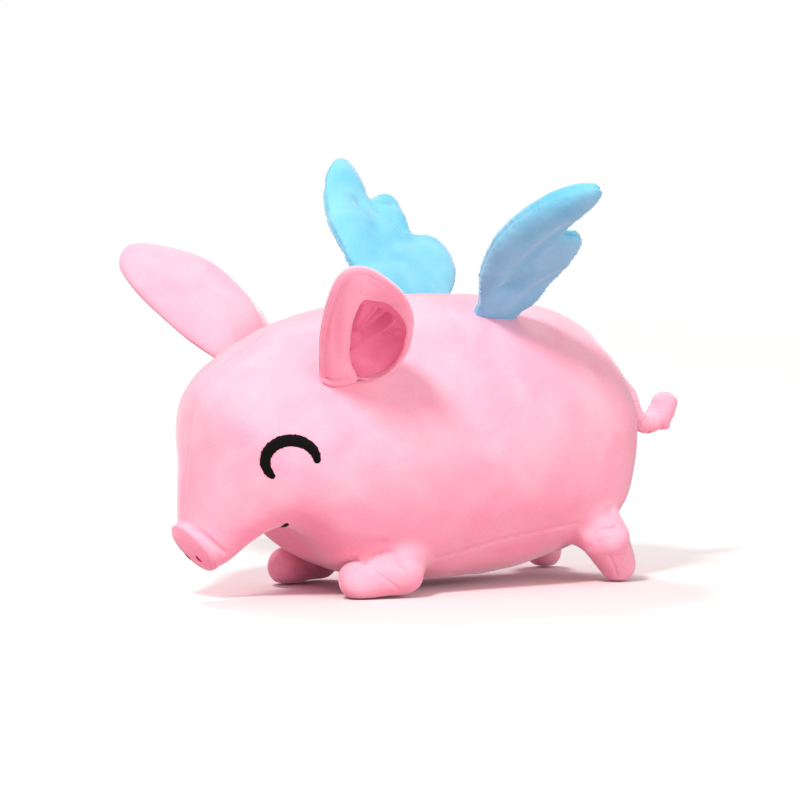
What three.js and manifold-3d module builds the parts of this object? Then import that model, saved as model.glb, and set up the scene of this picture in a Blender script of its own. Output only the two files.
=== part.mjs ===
// A stuffed pig with wings, in millimetres. +Z is up, the snout faces -Y and the pig's left is +X.
// The origin lies on the ground under the middle of the whole pig. While it is built, it lies
// under the middle of the body.
import * as THREE from "three";
import { mergeVertices } from "three/addons/utils/BufferGeometryUtils.js";
import Module from "manifold-3d";

const wasm = await Module();
wasm.setup();

// Body and head, one stuffed form without a neck
const bodyLength = 330;
const bodyWidth = 170;
const bodyHeight = 185;
const bellyClearance = 5;
const rumpDrop = 5;
const skinThickness = 1.6;
const sewingGap = 0.3;
const lengthwisePower = 2.6;
const sectionPower = 2.12;

// Sections from the middle of the body to the seat of the snout disc. Each row gives the distance
// forward, the height over the middle, the tilt in degrees and the reach to the side, up and down.
const headSectionShares = [
  [0, 0, 0, 1, 1, 1],
  [0.242, 0, 0, 0.985, 0.97, 0.955],
  [0.4545, -0.017, 4, 0.94, 0.893, 0.873],
  [0.606, -0.072, 14, 0.85, 0.8, 0.696],
  [0.739, -0.21, 25, 0.69, 0.7, 0.46],
  [0.832, -0.42, 34, 0.447, 0.43, 0.36],
  [0.885, -0.575, 38, 0.306, 0.285, 0.27],
  [0.912, -0.65, 38, 0.245, 0.22, 0.222],
];

// Belly gusset: its edge seen from the side, from the throat to under the rump
const gussetSeamShares = [
  [-0.62, -0.66],
  [-0.51, -0.71],
  [-0.36, -0.77],
  [-0.05, -0.79],
  [0.27, -0.68],
  [0.55, -0.61],
  [0.72, -0.56],
  [0.86, -0.5],
];

// Snout disc and nostrils
const discDiameter = 41;
const discThickness = 7;
const discCrown = 2.5;
const nostrilSpacing = 13;
const nostrilDrop = 5;
const nostrilLength = 5.5;
const nostrilWidth = 2.2;
const nostrilTilt = 20;

// Embroidery
const stitchHeight = 1.2;
const stitchWidth = 7.5;
const eyeWidth = 42;
const eyeHeight = 36;
const eyeForwardShare = 0.721;
const eyeRiseShare = -0.043;
const eyeArcDegrees = [5, 218];
const mouthLength = 9;
const mouthWidth = 2.2;
const mouthForwardShare = 0.679;
const mouthRiseShare = -0.535;
const mouthTilt = 35;

// Legs. The places of hips and feet are shares of the body's half length, width and height.
const hipOutShare = 0.635;
const footOutShare = 0.547;
const frontHipRadius = 15;
const frontHipRiseShare = -0.827;
const frontHipBackShare = -0.194;
const frontFootBackShare = -0.358;
const frontFootRadius = 13;
const rearHipRadius = 17;
const rearHipRiseShare = -0.719;
const rearHipBackShare = 0.733;
const rearFootBackShare = 0.824;
const rearFootRadius = 9.5;
const legSwell = 1.5;
const footFlat = 0.5;
const legRangeDegrees = [-10, 10];

// Ears
const earLength = 125;
const earWidth = 74;
const earRootWidth = 46;
const earThickness = 8;
const earRimSwell = 3;
const earRootCupDegrees = 70;
const earTipCupDegrees = 40;
const earRootOutShare = 0.741;
const earRootForwardShare = 0.376;
const liningThickness = 2;
const earRangeDegrees = [-25, 25];
const earRootBead = 5;

// Wings
const wingSpan = 160;
const wingThickness = 16;
const wingRootChord = 40;
const wingRootOutShare = 0.471;
const wingRootBackShare = 0.321;
const wingRise = 35.5;
const wingRangeDegrees = [-20, 30];
const wingRootBead = 5;

// Tail
const tailDiameter = 16.5;
const tailRiseShare = 0.297;
const tailRangeDegrees = [-25, 25];

const hingeClearance = 0.6;
const sweepClearance = 0.9;
const overrun = 20;

const halfLength = bodyLength / 2;
const halfWidth = bodyWidth / 2;
const halfHeight = bodyHeight / 2;
const bodyMiddle = bellyClearance + halfHeight;
const degree = Math.PI / 180;

const bodyColumns = 24;
const beadColumns = 12;
const X = new THREE.Vector3(1, 0, 0);
const Y = new THREE.Vector3(0, 1, 0);
const Z = new THREE.Vector3(0, 0, 1);

// A power that keeps the sign, for rounded-square outlines
function signedPower(value, power) {
  return Math.sign(value) * Math.abs(value) ** power;
}

// A closed skin over rings of points. An end that is one point is a pole, and a ring is closed flat.
function loft(rings) {
  const positions = [];
  const starts = [];
  const count = Math.max(...rings.map((ring) => ring.length));
  for (const ring of rings) {
    starts.push(positions.length / 3);
    ring.forEach((p) => positions.push(p.x, p.y, p.z));
  }
  const faces = [];
  for (let r = 0; r + 1 < rings.length; r++) {
    for (let i = 0; i < count; i++) {
      const next = (i + 1) % count;
      const [a, b] = rings[r].length === 1 ? [0, 0] : [i, next];
      const [c, d] = rings[r + 1].length === 1 ? [0, 0] : [i, next];
      if (a !== b) faces.push(starts[r] + a, starts[r] + b, starts[r + 1] + d);
      if (c !== d) faces.push(starts[r] + a, starts[r + 1] + d, starts[r + 1] + c);
    }
  }
  const geometry = new THREE.BufferGeometry();
  for (const r of [0, rings.length - 1]) {
    if (rings[r].length === 1) continue;
    const middle = new THREE.Vector3();
    rings[r].forEach((p) => middle.addScaledVector(p, 1 / rings[r].length));
    const centre = positions.length / 3;
    positions.push(middle.x, middle.y, middle.z);
    for (let i = 0; i < count; i++) {
      const edge = [starts[r] + i, starts[r] + ((i + 1) % count)];
      if (r === 0) edge.reverse();
      faces.push(centre, ...edge);
    }
  }
  geometry.setAttribute("position", new THREE.Float32BufferAttribute(positions, 3));
  geometry.setIndex(faces);
  return geometry;
}

// A geometry as a solid that can be joined and cut, whichever way its faces were wound
function solid(geometry) {
  const bare = geometry.clone();
  bare.deleteAttribute("normal");
  bare.deleteAttribute("uv");
  const merged = mergeVertices(bare);
  const vertProperties = new Float32Array(merged.attributes.position.array);
  const triVerts = new Uint32Array(merged.index.array);
  const made = new wasm.Manifold(new wasm.Mesh({ numProp: 3, vertProperties, triVerts }));
  if (made.volume() > 0) return made;
  for (let i = 0; i < triVerts.length; i += 3) {
    [triVerts[i + 1], triVerts[i + 2]] = [triVerts[i + 2], triVerts[i + 1]];
  }
  return new wasm.Manifold(new wasm.Mesh({ numProp: 3, vertProperties, triVerts }));
}

function geometryOf(shape) {
  const mesh = shape.getMesh();
  const geometry = new THREE.BufferGeometry();
  geometry.setAttribute("position", new THREE.BufferAttribute(mesh.vertProperties, 3));
  geometry.setIndex(new THREE.BufferAttribute(mesh.triVerts, 1));
  return geometry;
}

// The mirror image of a solid in the plane between left and right
function mirrored(shape) {
  return solid(geometryOf(shape).applyMatrix4(new THREE.Matrix4().makeScale(-1, 1, 1)));
}

// A solid turned about a line through a point
function turned(shape, point, axis, angle) {
  const matrix = new THREE.Matrix4().makeTranslation(point.x, point.y, point.z);
  matrix.multiply(new THREE.Matrix4().makeRotationAxis(axis, angle * degree));
  matrix.multiply(new THREE.Matrix4().makeTranslation(-point.x, -point.y, -point.z));
  return solid(geometryOf(shape).applyMatrix4(matrix));
}

// One section of the body: a rounded outline, tilted forward about the side-to-side axis
function bodyRing(back, height, tilt, side, up, down) {
  const ring = [];
  for (let i = 0; i < bodyColumns; i++) {
    const angle = (i / bodyColumns) * 2 * Math.PI;
    const reach = signedPower(Math.sin(angle), 2 / sectionPower);
    const rise = reach * (reach > 0 ? up : down);
    const out = side * signedPower(Math.cos(angle), 2 / sectionPower);
    ring.push(
      new THREE.Vector3(
        out,
        back - rise * Math.sin(tilt * degree),
        height + rise * Math.cos(tilt * degree),
      ),
    );
  }
  return ring;
}

// The body's outer form, drawn in by an inset
function bodySolid(inset) {
  const length = halfLength - inset;
  const rings = [[new THREE.Vector3(0, length, bodyMiddle - rumpDrop)]];
  const rearSections = 8;
  const power = 2 / lengthwisePower;
  const rearShare = (k) => [
    -(Math.cos((k / rearSections) * (Math.PI / 2)) ** power),
    Math.sin((k / rearSections) * (Math.PI / 2)) ** power,
  ];
  for (let k = 1; k < rearSections; k++) {
    const [backShare, size] = rearShare(k);
    rings.push(
      bodyRing(
        -backShare * length,
        bodyMiddle - rumpDrop * backShare ** 2,
        0,
        (halfWidth - inset) * size,
        (halfHeight - inset) * size,
        (halfHeight - inset) * size,
      ),
    );
  }
  const [lastBack, lastSize] = rearShare(rearSections - 1);
  const guide = [[lastBack, 0, 0, lastSize, lastSize, lastSize], ...headSectionShares];
  const places = new THREE.CatmullRomCurve3(
    guide.map((row) => new THREE.Vector3(row[0], row[1], row[2])),
    false,
    "catmullrom",
  );
  const sizes = new THREE.CatmullRomCurve3(
    guide.map((row) => new THREE.Vector3(row[3], row[4], row[5])),
    false,
    "catmullrom",
  );
  const frontSections = 12;
  const first = 1 / (guide.length - 1);
  for (let k = 0; k <= frontSections; k++) {
    const t = first + (1 - first) * (k / frontSections);
    const place = places.getPoint(t);
    const size = sizes.getPoint(t);
    const pull = k === frontSections ? inset : 0;
    rings.push(
      bodyRing(
        -place.x * halfLength + pull * Math.cos(place.z * degree),
        bodyMiddle + place.y * halfHeight + pull * Math.sin(place.z * degree),
        place.z,
        size.x * halfWidth - inset,
        size.y * halfHeight - inset,
        size.z * halfHeight - inset,
      ),
    );
  }
  return solid(loft(rings));
}

const bodyOuter = bodySolid(0);
const bodyCleared = bodySolid(-sweepClearance);
const bodyMesh = new THREE.Mesh(geometryOf(bodyOuter), new THREE.MeshBasicMaterial());
bodyMesh.material.side = THREE.DoubleSide;
bodyMesh.updateMatrixWorld(true);

// Where a line from far outside meets the body's skin
function onSkin(from, direction) {
  const start = from.clone().addScaledVector(direction, -bodyLength);
  const hit = new THREE.Raycaster(start, direction).intersectObject(bodyMesh)[0];
  return hit.point;
}

// A point by shares of the body's half width, half length and half height from its middle
function bodyPoint(outShare, backShare, riseShare) {
  return new THREE.Vector3(
    outShare * halfWidth,
    backShare * halfLength,
    bodyMiddle + riseShare * halfHeight,
  );
}

// The point of the back, seen from above
function onBack(outShare, backShare) {
  return onSkin(bodyPoint(outShare, backShare, 0), Z.clone().negate());
}

// A rod with round ends along an axis, which a hinge can turn in its socket. Its flat facets cut
// into its radius, less so with more columns.
function bead(centre, axis, length, radius, columns) {
  const side = new THREE.Vector3().crossVectors(axis, Math.abs(axis.z) < 0.8 ? Z : X).normalize();
  const other = new THREE.Vector3().crossVectors(axis, side);
  const steps = columns / 4;
  const rings = [];
  for (let end = -1; end <= 1; end += 2) {
    for (let k = 0; k <= steps; k++) {
      const share = end < 0 ? k / steps : 1 - k / steps;
      const across = radius * Math.sin(share * (Math.PI / 2));
      const along = end * (length / 2 + radius * Math.cos(share * (Math.PI / 2)));
      const middle = centre.clone().addScaledVector(axis, along);
      if (share === 0) {
        rings.push([middle]);
        continue;
      }
      if (end > 0 && share === 1 && length === 0) continue;
      const ring = [];
      for (let i = 0; i < columns; i++) {
        const angle = (i / columns) * 2 * Math.PI;
        ring.push(
          middle
            .clone()
            .addScaledVector(side, across * Math.cos(angle))
            .addScaledVector(other, across * Math.sin(angle)),
        );
      }
      rings.push(ring);
    }
  }
  return solid(loft(rings));
}

// The hollow that a hinge's bead turns in, whose facets stay clear of the bead, and the room round
// the bead where its own body keeps everything
function socketAndKeep(centre, axis, length, radius) {
  const socketColumns = 12;
  const keepColumns = 16;
  const facetShare = Math.cos(Math.PI / socketColumns) ** 2;
  const socketRadius = (radius + hingeClearance) / facetShare;
  return {
    socket: bead(centre, axis, length, socketRadius, socketColumns),
    keep: bead(centre, axis, length, radius + sewingGap, keepColumns),
  };
}

// A large block on one side of a plane through a point, for cutting
function halfSpace(point, normal) {
  const size = 2 * bodyLength;
  const block = new THREE.BoxGeometry(size, size, size).translate(0, 0, size / 2);
  const turn = new THREE.Quaternion().setFromUnitVectors(Z, normal);
  block.applyQuaternion(turn).translate(point.x, point.y, point.z);
  return solid(block);
}

// Cuts a moving piece clear of the body through its whole range. The part in the socket stays.
function clearOfBody(shape, hinge, socket) {
  const body = bodyCleared.subtract(socket);
  let cleared = shape;
  for (const angle of hinge.range) {
    cleared = cleared.subtract(turned(body, hinge.point, hinge.axis, -angle));
  }
  return cleared;
}

// The largest of the separate solids that a cut has left
function largest(shape) {
  const bodies = shape.decompose();
  return bodies.reduce((best, next) => (next.volume() > best.volume() ? next : best));
}

// A leg that swells from the hip and tapers to a foot which is cut flat on the ground
function leg(hipRadius, hipBackShare, hipRiseShare, footRadius, footBackShare) {
  const columns = 12;
  const footHeight = footRadius * Math.cos(Math.PI / columns) - footFlat;
  const hip = bodyPoint(hipOutShare, hipBackShare, hipRiseShare);
  const foot = bodyPoint(footOutShare, footBackShare, 0).setZ(footHeight);
  const way = foot.clone().sub(hip);
  const length = way.length();
  way.normalize();
  const side = new THREE.Vector3().crossVectors(way, X).normalize();
  const other = new THREE.Vector3().crossVectors(way, side);
  const capSteps = 3;
  const sections = 4;
  const profile = [];
  for (let k = 0; k < capSteps; k++) {
    const angle = (k / capSteps) * (Math.PI / 2);
    profile.push([-hipRadius * Math.cos(angle), hipRadius * Math.sin(angle)]);
  }
  for (let k = 0; k <= sections; k++) {
    const share = k / sections;
    const radius = hipRadius + (footRadius - hipRadius) * share;
    profile.push([length * share, radius + legSwell * Math.sin(Math.PI * share)]);
  }
  for (let k = 1; k <= capSteps; k++) {
    const angle = (k / capSteps) * (Math.PI / 2);
    profile.push([length + footRadius * Math.sin(angle), footRadius * Math.cos(angle)]);
  }
  const rings = profile.map(([along, radius], index) => {
    const middle = hip.clone().addScaledVector(way, along);
    if (index === 0 || index === profile.length - 1) return [middle];
    return Array.from({ length: columns }, (_, i) => {
      const angle = ((i + 0.5) / columns) * 2 * Math.PI;
      return middle
        .clone()
        .addScaledVector(side, radius * Math.cos(angle))
        .addScaledVector(other, radius * Math.sin(angle));
    });
  });
  const hinge = { point: hip, axis: X, range: legRangeDegrees };
  const { socket, keep } = socketAndKeep(hip, X, 0, hipRadius);
  const shape = solid(loft(rings)).intersect(halfSpace(new THREE.Vector3(), Z));
  const piece = clearOfBody(shape, hinge, keep);
  return { piece: largest(piece), socket, hinge };
}

// The ear's own axes: along it, to the side its lining faces, and across
const earAlong = new THREE.Vector3(0.69, -0.48, 0.54).normalize();
const earFacing = new THREE.Vector3(0.66, 0.115, -0.74);
earFacing.addScaledVector(earAlong, -earFacing.dot(earAlong)).normalize();
const earAcross = new THREE.Vector3().crossVectors(earFacing, earAlong);
const earRootShare = earRootWidth / earWidth;
const earWidestShare = 0.48;

// Half of the ear's flat width at a share of its length
function earHalfWidth(share) {
  if (share < earWidestShare) {
    const rise = Math.sin((share / earWidestShare) * (Math.PI / 2));
    return (earWidth / 2) * (earRootShare + (1 - earRootShare) * rise);
  }
  const past = (share - earWidestShare) / (1 - earWidestShare);
  return (earWidth / 2) * (1 - past ** 2.4) ** 0.6;
}

// A point of the cupped ear, a height over its middle sheet on the side that the lining faces
function earPoint(root, share, across, height) {
  const half = Math.max(earHalfWidth(share), sewingGap);
  const cup = (earRootCupDegrees + (earTipCupDegrees - earRootCupDegrees) * share) * degree;
  const opening = Math.min(1, share / 0.25);
  const bend = cup * (0.35 + 0.65 * opening);
  const radius = half / bend;
  const angle = bend * across;
  return root
    .clone()
    .addScaledVector(earAlong, earLength * share)
    .addScaledVector(earAcross, (radius - height) * Math.sin(angle))
    .addScaledVector(earFacing, radius - (radius - height) * Math.cos(angle));
}

function ear() {
  const root = onBack(earRootOutShare, -earRootForwardShare);
  const hinge = { point: root, axis: earAcross, range: earRangeDegrees };
  const sections = 9;
  const columns = 14;
  const rings = [];
  for (let k = 0; k <= sections; k++) {
    const share = Math.sin((k / sections) * (Math.PI / 2)) ** 0.85;
    const end = Math.sqrt(Math.max(0, 1 - share ** 6));
    const ring = [];
    for (let i = 0; i < columns; i++) {
      const angle = (i / columns) * 2 * Math.PI;
      const across = signedPower(Math.cos(angle), 0.75);
      const swell = earThickness / 2 + (earRimSwell / 2) * Math.abs(across) ** 3;
      const height = swell * signedPower(Math.sin(angle), 0.7) * Math.min(end, 1);
      ring.push(earPoint(root, share, across, height));
    }
    rings.push(k === sections ? [earPoint(root, 1, 0, 0)] : ring);
  }
  const beadLength = earRootWidth - 2 * earRootBead;
  const rootBead = bead(root, earAcross, beadLength, earRootBead, beadColumns);
  const { socket, keep } = socketAndKeep(root, earAcross, beadLength, earRootBead);
  const outer = clearOfBody(solid(loft(rings)).add(rootBead), hinge, keep);
  return { outer: largest(outer), lining: earLining(root), socket, hinge };
}

// The deeper pink lining, a thin padded leaf inside the cup
function earLining(root) {
  const sections = 7;
  const columns = 10;
  const startShare = 0.16;
  const endShare = 0.88;
  const rings = [];
  for (let k = 0; k <= sections; k++) {
    const turn = (k / sections) * Math.PI;
    const share = startShare + (endShare - startShare) * (0.5 - 0.5 * Math.cos(turn));
    const width = 0.62 * Math.sin(turn) ** 0.5;
    const floor = earThickness / 2 + (earRimSwell / 2) * 0.62 ** 3 + 3 * sewingGap;
    const middle = floor + liningThickness / 2;
    if (k === 0 || k === sections) {
      rings.push([earPoint(root, share, 0, middle)]);
      continue;
    }
    const ring = [];
    for (let i = 0; i < columns; i++) {
      const angle = (i / columns) * 2 * Math.PI;
      const height = middle + (liningThickness / 2) * signedPower(Math.sin(angle), 0.7);
      ring.push(earPoint(root, share, width * signedPower(Math.cos(angle), 0.8), height));
    }
    rings.push(ring);
  }
  return solid(loft(rings));
}

// The wing's own axes: along its span, along its chord to the rear, and out of its upper face
const halfChordShare = wingRootChord / 2 / halfLength;
const wingRear = onBack(wingRootOutShare, wingRootBackShare + halfChordShare)
  .sub(onBack(wingRootOutShare, wingRootBackShare - halfChordShare))
  .normalize();
const wingOut = new THREE.Vector3(Math.cos(wingRise * degree), 0, Math.sin(wingRise * degree));
wingOut.addScaledVector(wingRear, -wingOut.dot(wingRear)).normalize();
const wingUp = new THREE.Vector3().crossVectors(wingOut, wingRear).normalize();

// Each feather: where its middle line starts, bends and ends, as shares of the span outward and
// rearward, then its half width at the middle and how thick it is, as shares of span and thickness.
// Both wings are cut alike. The left one lies drawn together, and the right one is spread.
const leftFeatherShares = [
  [[0, -0.04], [0.59, -0.335], [1.015, -0.1], 0.14, 1],
  [[0, 0], [0.325, -0.1], [0.68, -0.04], 0.11, 0.9],
  [[0, 0], [0.13, 0], [0.3, 0], 0.08, 0.85],
];
const rightFeatherShares = [
  [[0, -0.22], [0.44, -0.31], [0.96, -0.09], 0.125, 1],
  [[0, -0.06], [0.375, -0.125], [0.75, 0.06], 0.085, 0.9],
  [[0, -0.05], [0.16, -0.04], [0.46, 0.14], 0.14, 0.9],
];

// How full a feather is along it: drawn in at its start, broad, and round at its tip
function featherFullness(share) {
  const rootPower = 5;
  const tipPower = 8;
  const broadening = 0.75 + 0.25 * Math.sin(share * Math.PI);
  return broadening * (1 - (1 - share) ** rootPower) * Math.sqrt(1 - share ** tipPower);
}

// The palm that the feathers grow from. Each row gives the distance out, the middle's distance
// rearward and the half chord, as shares of the span, and the share of the full thickness.
const leftPalmShares = [
  [0, -0.04, 0.1, 0.5],
  [0.08, -0.055, 0.122, 0.62],
  [0.2, -0.085, 0.162, 0.78],
  [0.34, -0.115, 0.19, 0.8],
  [0.46, -0.14, 0.17, 0.7],
  [0.56, -0.14, 0.1, 0.4],
];
const rightPalmShares = [
  [0, -0.04, 0.115, 0.5],
  [0.08, -0.1, 0.185, 0.62],
  [0.2, -0.115, 0.245, 0.78],
  [0.34, -0.125, 0.235, 0.8],
  [0.46, -0.15, 0.18, 0.7],
  [0.56, -0.16, 0.12, 0.4],
];

// A point of the wing by distances outward, rearward and over its middle sheet
function wingPoint(root, out, rear, over) {
  return root
    .clone()
    .addScaledVector(wingOut, out)
    .addScaledVector(wingRear, rear)
    .addScaledVector(wingUp, over);
}

// One feather: a padded lobe along a curved line in the wing's sheet
function feather(root, [start, bend, end, widthShare, thickShare]) {
  const flat = ([out, rear]) => new THREE.Vector2(out, rear).multiplyScalar(wingSpan);
  const line = new THREE.QuadraticBezierCurve(flat(start), flat(bend), flat(end));
  const sections = 8;
  const columns = 10;
  const rings = [];
  for (let k = 0; k <= sections; k++) {
    const share = 0.5 - 0.5 * Math.cos((k / sections) * Math.PI);
    const middle = line.getPoint(share);
    if (k === 0 || k === sections) {
      rings.push([wingPoint(root, middle.x, middle.y, 0)]);
      continue;
    }
    const tangent = line.getTangent(share);
    const full = featherFullness(share);
    const width = wingSpan * widthShare * full;
    const height = (wingThickness / 2) * thickShare * full;
    const ring = [];
    for (let i = 0; i < columns; i++) {
      const angle = (i / columns) * 2 * Math.PI;
      const side = width * Math.cos(angle);
      const over = height * Math.sin(angle);
      ring.push(wingPoint(root, middle.x + side * tangent.y, middle.y - side * tangent.x, over));
    }
    rings.push(ring);
  }
  return solid(loft(rings));
}

function palm(root, palmShares) {
  const columns = 10;
  const rings = palmShares.map(([out, rear, halfChord, thick]) =>
    Array.from({ length: columns }, (_, i) => {
      const angle = (i / columns) * 2 * Math.PI;
      const back = (rear + halfChord * Math.cos(angle)) * wingSpan;
      const over = (wingThickness / 2) * thick * Math.sin(angle);
      return wingPoint(root, out * wingSpan, back, over);
    }),
  );
  return solid(loft(rings));
}

function wing(featherShares, palmShares) {
  const root = onBack(wingRootOutShare, wingRootBackShare);
  const hinge = { point: root, axis: wingRear.clone().negate(), range: wingRangeDegrees };
  const beadLength = wingRootChord - 2 * wingRootBead;
  let whole = bead(root, wingRear, beadLength, wingRootBead, beadColumns);
  whole = whole.add(palm(root, palmShares));
  for (const shares of featherShares) whole = whole.add(feather(root, shares));
  const { socket, keep } = socketAndKeep(root, wingRear, beadLength, wingRootBead);
  whole = largest(clearOfBody(whole, hinge, keep));
  const above = wingPoint(root, 0, 0, sewingGap / 2);
  const below = wingPoint(root, 0, 0, -sewingGap / 2);
  const upper = largest(whole.intersect(halfSpace(above, wingUp)));
  const lower = largest(whole.intersect(halfSpace(below, wingUp.clone().negate())));
  return { upper, lower, socket, hinge };
}

// The tail's middle line: out of the rump, down, and up again in one curl. Each row is the
// distance to the left, behind the rump and over the root, in tail diameters.
const tailLineShares = [
  [0, -0.3, 0.05],
  [0.2, 0.72, -0.3],
  [0.3, 1.05, -1.15],
  [0.15, 1.45, -1.66],
  [-0.08, 2.1, -1.52],
  [-0.12, 2.45, -1],
  [-0.1, 2.5, -0.44],
];

function tail() {
  const level = bodyPoint(0, 0, tailRiseShare);
  const root = onSkin(level, Y.clone().negate());
  const radius = tailDiameter / 2;
  const line = new THREE.CatmullRomCurve3(
    tailLineShares.map(([left, back, up]) =>
      root.clone().add(new THREE.Vector3(left, back, up).multiplyScalar(tailDiameter)),
    ),
  );
  const sections = 15;
  const columns = 10;
  const rings = [];
  const across = new THREE.Vector3(1, 0, 0);
  for (let k = 0; k <= sections; k++) {
    const share = 1 - (1 - k / sections) ** 1.5;
    const middle = line.getPoint(share);
    const tangent = line.getTangent(share);
    if (k === 0 || k === sections) {
      rings.push([middle]);
      continue;
    }
    across.addScaledVector(tangent, -across.dot(tangent)).normalize();
    const other = new THREE.Vector3().crossVectors(tangent, across);
    const tip = Math.sqrt(1 - Math.max(0, (share - 0.82) / 0.18) ** 2.5);
    const base = Math.min(1, Math.sqrt(share / 0.1));
    const size = radius * (0.84 + 0.2 * share) * tip * base;
    const ring = [];
    for (let i = 0; i < columns; i++) {
      const angle = (i / columns) * 2 * Math.PI;
      ring.push(
        middle
          .clone()
          .addScaledVector(across, size * Math.cos(angle))
          .addScaledVector(other, size * Math.sin(angle)),
      );
    }
    rings.push(ring);
  }
  const hinge = { point: root, axis: Z, range: tailRangeDegrees };
  const { socket, keep } = socketAndKeep(root, Z, 0, radius);
  const shape = solid(loft(rings)).add(bead(root, Z, 0, radius, beadColumns));
  return { piece: largest(clearOfBody(shape, hinge, keep)), socket, hinge };
}

// The padded disc at the end of the muzzle, crowned in front
function snoutFrame() {
  const last = headSectionShares[headSectionShares.length - 1];
  const tilt = last[2] * degree;
  const facing = new THREE.Vector3(0, -Math.cos(tilt), -Math.sin(tilt));
  const up = new THREE.Vector3(0, -Math.sin(tilt), Math.cos(tilt));
  const seat = new THREE.Vector3(0, -last[0] * halfLength, bodyMiddle + last[1] * halfHeight);
  return { facing, up, seat };
}

function snoutDisc() {
  const { facing, up, seat } = snoutFrame();
  const radius = discDiameter / 2;
  const edge = discThickness / 2;
  const profile = [[sewingGap, 0.86]];
  const rimSteps = 4;
  for (let k = 0; k <= rimSteps; k++) {
    const angle = (-0.7 + 1.35 * (k / rimSteps)) * (Math.PI / 2);
    profile.push([sewingGap + edge + edge * Math.sin(angle), 1 - (edge / radius) * (1 - Math.cos(angle))]);
  }
  for (const share of [0.66, 0.36]) {
    profile.push([discThickness + discCrown * (1 - share ** 2), share]);
  }
  const columns = 24;
  const rings = profile.map(([along, share]) =>
    Array.from({ length: columns }, (_, i) => {
      const angle = (i / columns) * 2 * Math.PI;
      return seat
        .clone()
        .addScaledVector(facing, along)
        .addScaledVector(X, radius * share * Math.cos(angle))
        .addScaledVector(up, radius * share * Math.sin(angle));
    }),
  );
  rings.push([seat.clone().addScaledVector(facing, discThickness + discCrown)]);
  return solid(loft(rings));
}

// A padded line of stitches that lies on a surface. The line's points come with the way out of the
// surface, and its width tapers towards both ends.
function stitchedLine(points, outs, width, taper) {
  const rings = [];
  const columns = 8;
  points.forEach((point, k) => {
    const share = k / (points.length - 1);
    const before = points[Math.max(0, k - 1)];
    const after = points[Math.min(points.length - 1, k + 1)];
    const along = after.clone().sub(before).normalize();
    const out = outs[k];
    const side = new THREE.Vector3().crossVectors(out, along).normalize();
    const full = Math.sin(Math.PI * share) ** taper;
    const lifted = point.clone().addScaledVector(out, sewingGap + stitchHeight / 2);
    if (k === 0 || k === points.length - 1) {
      rings.push([lifted]);
      return;
    }
    const ring = [];
    for (let i = 0; i < columns; i++) {
      const angle = (i / columns) * 2 * Math.PI;
      ring.push(
        lifted
          .clone()
          .addScaledVector(side, (width / 2) * full * Math.cos(angle))
          .addScaledVector(out, (stitchHeight / 2) * Math.sin(angle)),
      );
    }
    rings.push(ring);
  });
  return solid(loft(rings));
}

// The line of a stitched feature, drawn flat and settled on the skin from the side it faces
function settledLine(centre, facing, turn, flatPoints, width, taper) {
  const across = new THREE.Vector3().crossVectors(Z, facing).normalize();
  const up = new THREE.Vector3().crossVectors(facing, across);
  across.applyAxisAngle(facing, turn * degree);
  up.applyAxisAngle(facing, turn * degree);
  const inward = facing.clone().negate();
  const settle = (right, rise) =>
    onSkin(centre.clone().addScaledVector(across, right).addScaledVector(up, rise), inward);
  const points = [];
  const outs = [];
  for (const [right, rise] of flatPoints) {
    const point = settle(right, rise);
    const reach = width / 2;
    const sideways = settle(right + reach, rise).sub(settle(right - reach, rise));
    const upward = settle(right, rise + reach).sub(settle(right, rise - reach));
    const out = new THREE.Vector3().crossVectors(sideways, upward).normalize();
    const bulge = point.clone().sub(
      settle(right + reach, rise).add(settle(right - reach, rise)).multiplyScalar(0.5),
    );
    points.push(point.addScaledVector(out, Math.max(0, -bulge.dot(out))));
    outs.push(out);
  }
  return stitchedLine(points, outs, width, taper);
}

// The closed, smiling eye: an arch of satin stitches
function eye() {
  const level = bodyPoint(0, -eyeForwardShare, eyeRiseShare);
  const centre = onSkin(level, X.clone().negate());
  const facing = new THREE.Vector3(0.86, -0.5, 0.05).normalize();
  const steps = 12;
  const arch = [];
  for (let k = 0; k <= steps; k++) {
    const angle = (eyeArcDegrees[0] + (eyeArcDegrees[1] - eyeArcDegrees[0]) * (k / steps)) * degree;
    const across = ((eyeWidth - stitchWidth) / 2) * Math.cos(angle);
    arch.push([across, ((eyeHeight - stitchWidth) / 2) * Math.sin(angle)]);
  }
  return settledLine(centre, facing, 0, arch, stitchWidth, 0.35);
}

function mouth() {
  const level = bodyPoint(0, -mouthForwardShare, mouthRiseShare);
  const centre = onSkin(level, X.clone().negate());
  const facing = new THREE.Vector3(0.8, -0.45, -0.4).normalize();
  const steps = 6;
  const line = [];
  for (let k = 0; k <= steps; k++) {
    const share = k / steps - 0.5;
    line.push([mouthLength * share, mouthLength * 0.12 * (4 * share * share - 1)]);
  }
  return settledLine(centre, facing, mouthTilt, line, mouthWidth, 0.6);
}

function nostril() {
  const { facing, up, seat } = snoutFrame();
  const steps = 6;
  const points = [];
  for (let k = 0; k <= steps; k++) {
    const along = nostrilLength * (k / steps - 0.5);
    const right = nostrilSpacing / 2 + along * Math.sin(nostrilTilt * degree);
    const rise = -nostrilDrop + along * Math.cos(nostrilTilt * degree);
    const share = Math.hypot(right, rise) / (discDiameter / 2);
    points.push(
      seat
        .clone()
        .addScaledVector(facing, discThickness + discCrown * (1 - share ** 2))
        .addScaledVector(X, right)
        .addScaledVector(up, rise),
    );
  }
  return stitchedLine(points, points.map(() => facing), nostrilWidth, 0.5);
}

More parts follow.
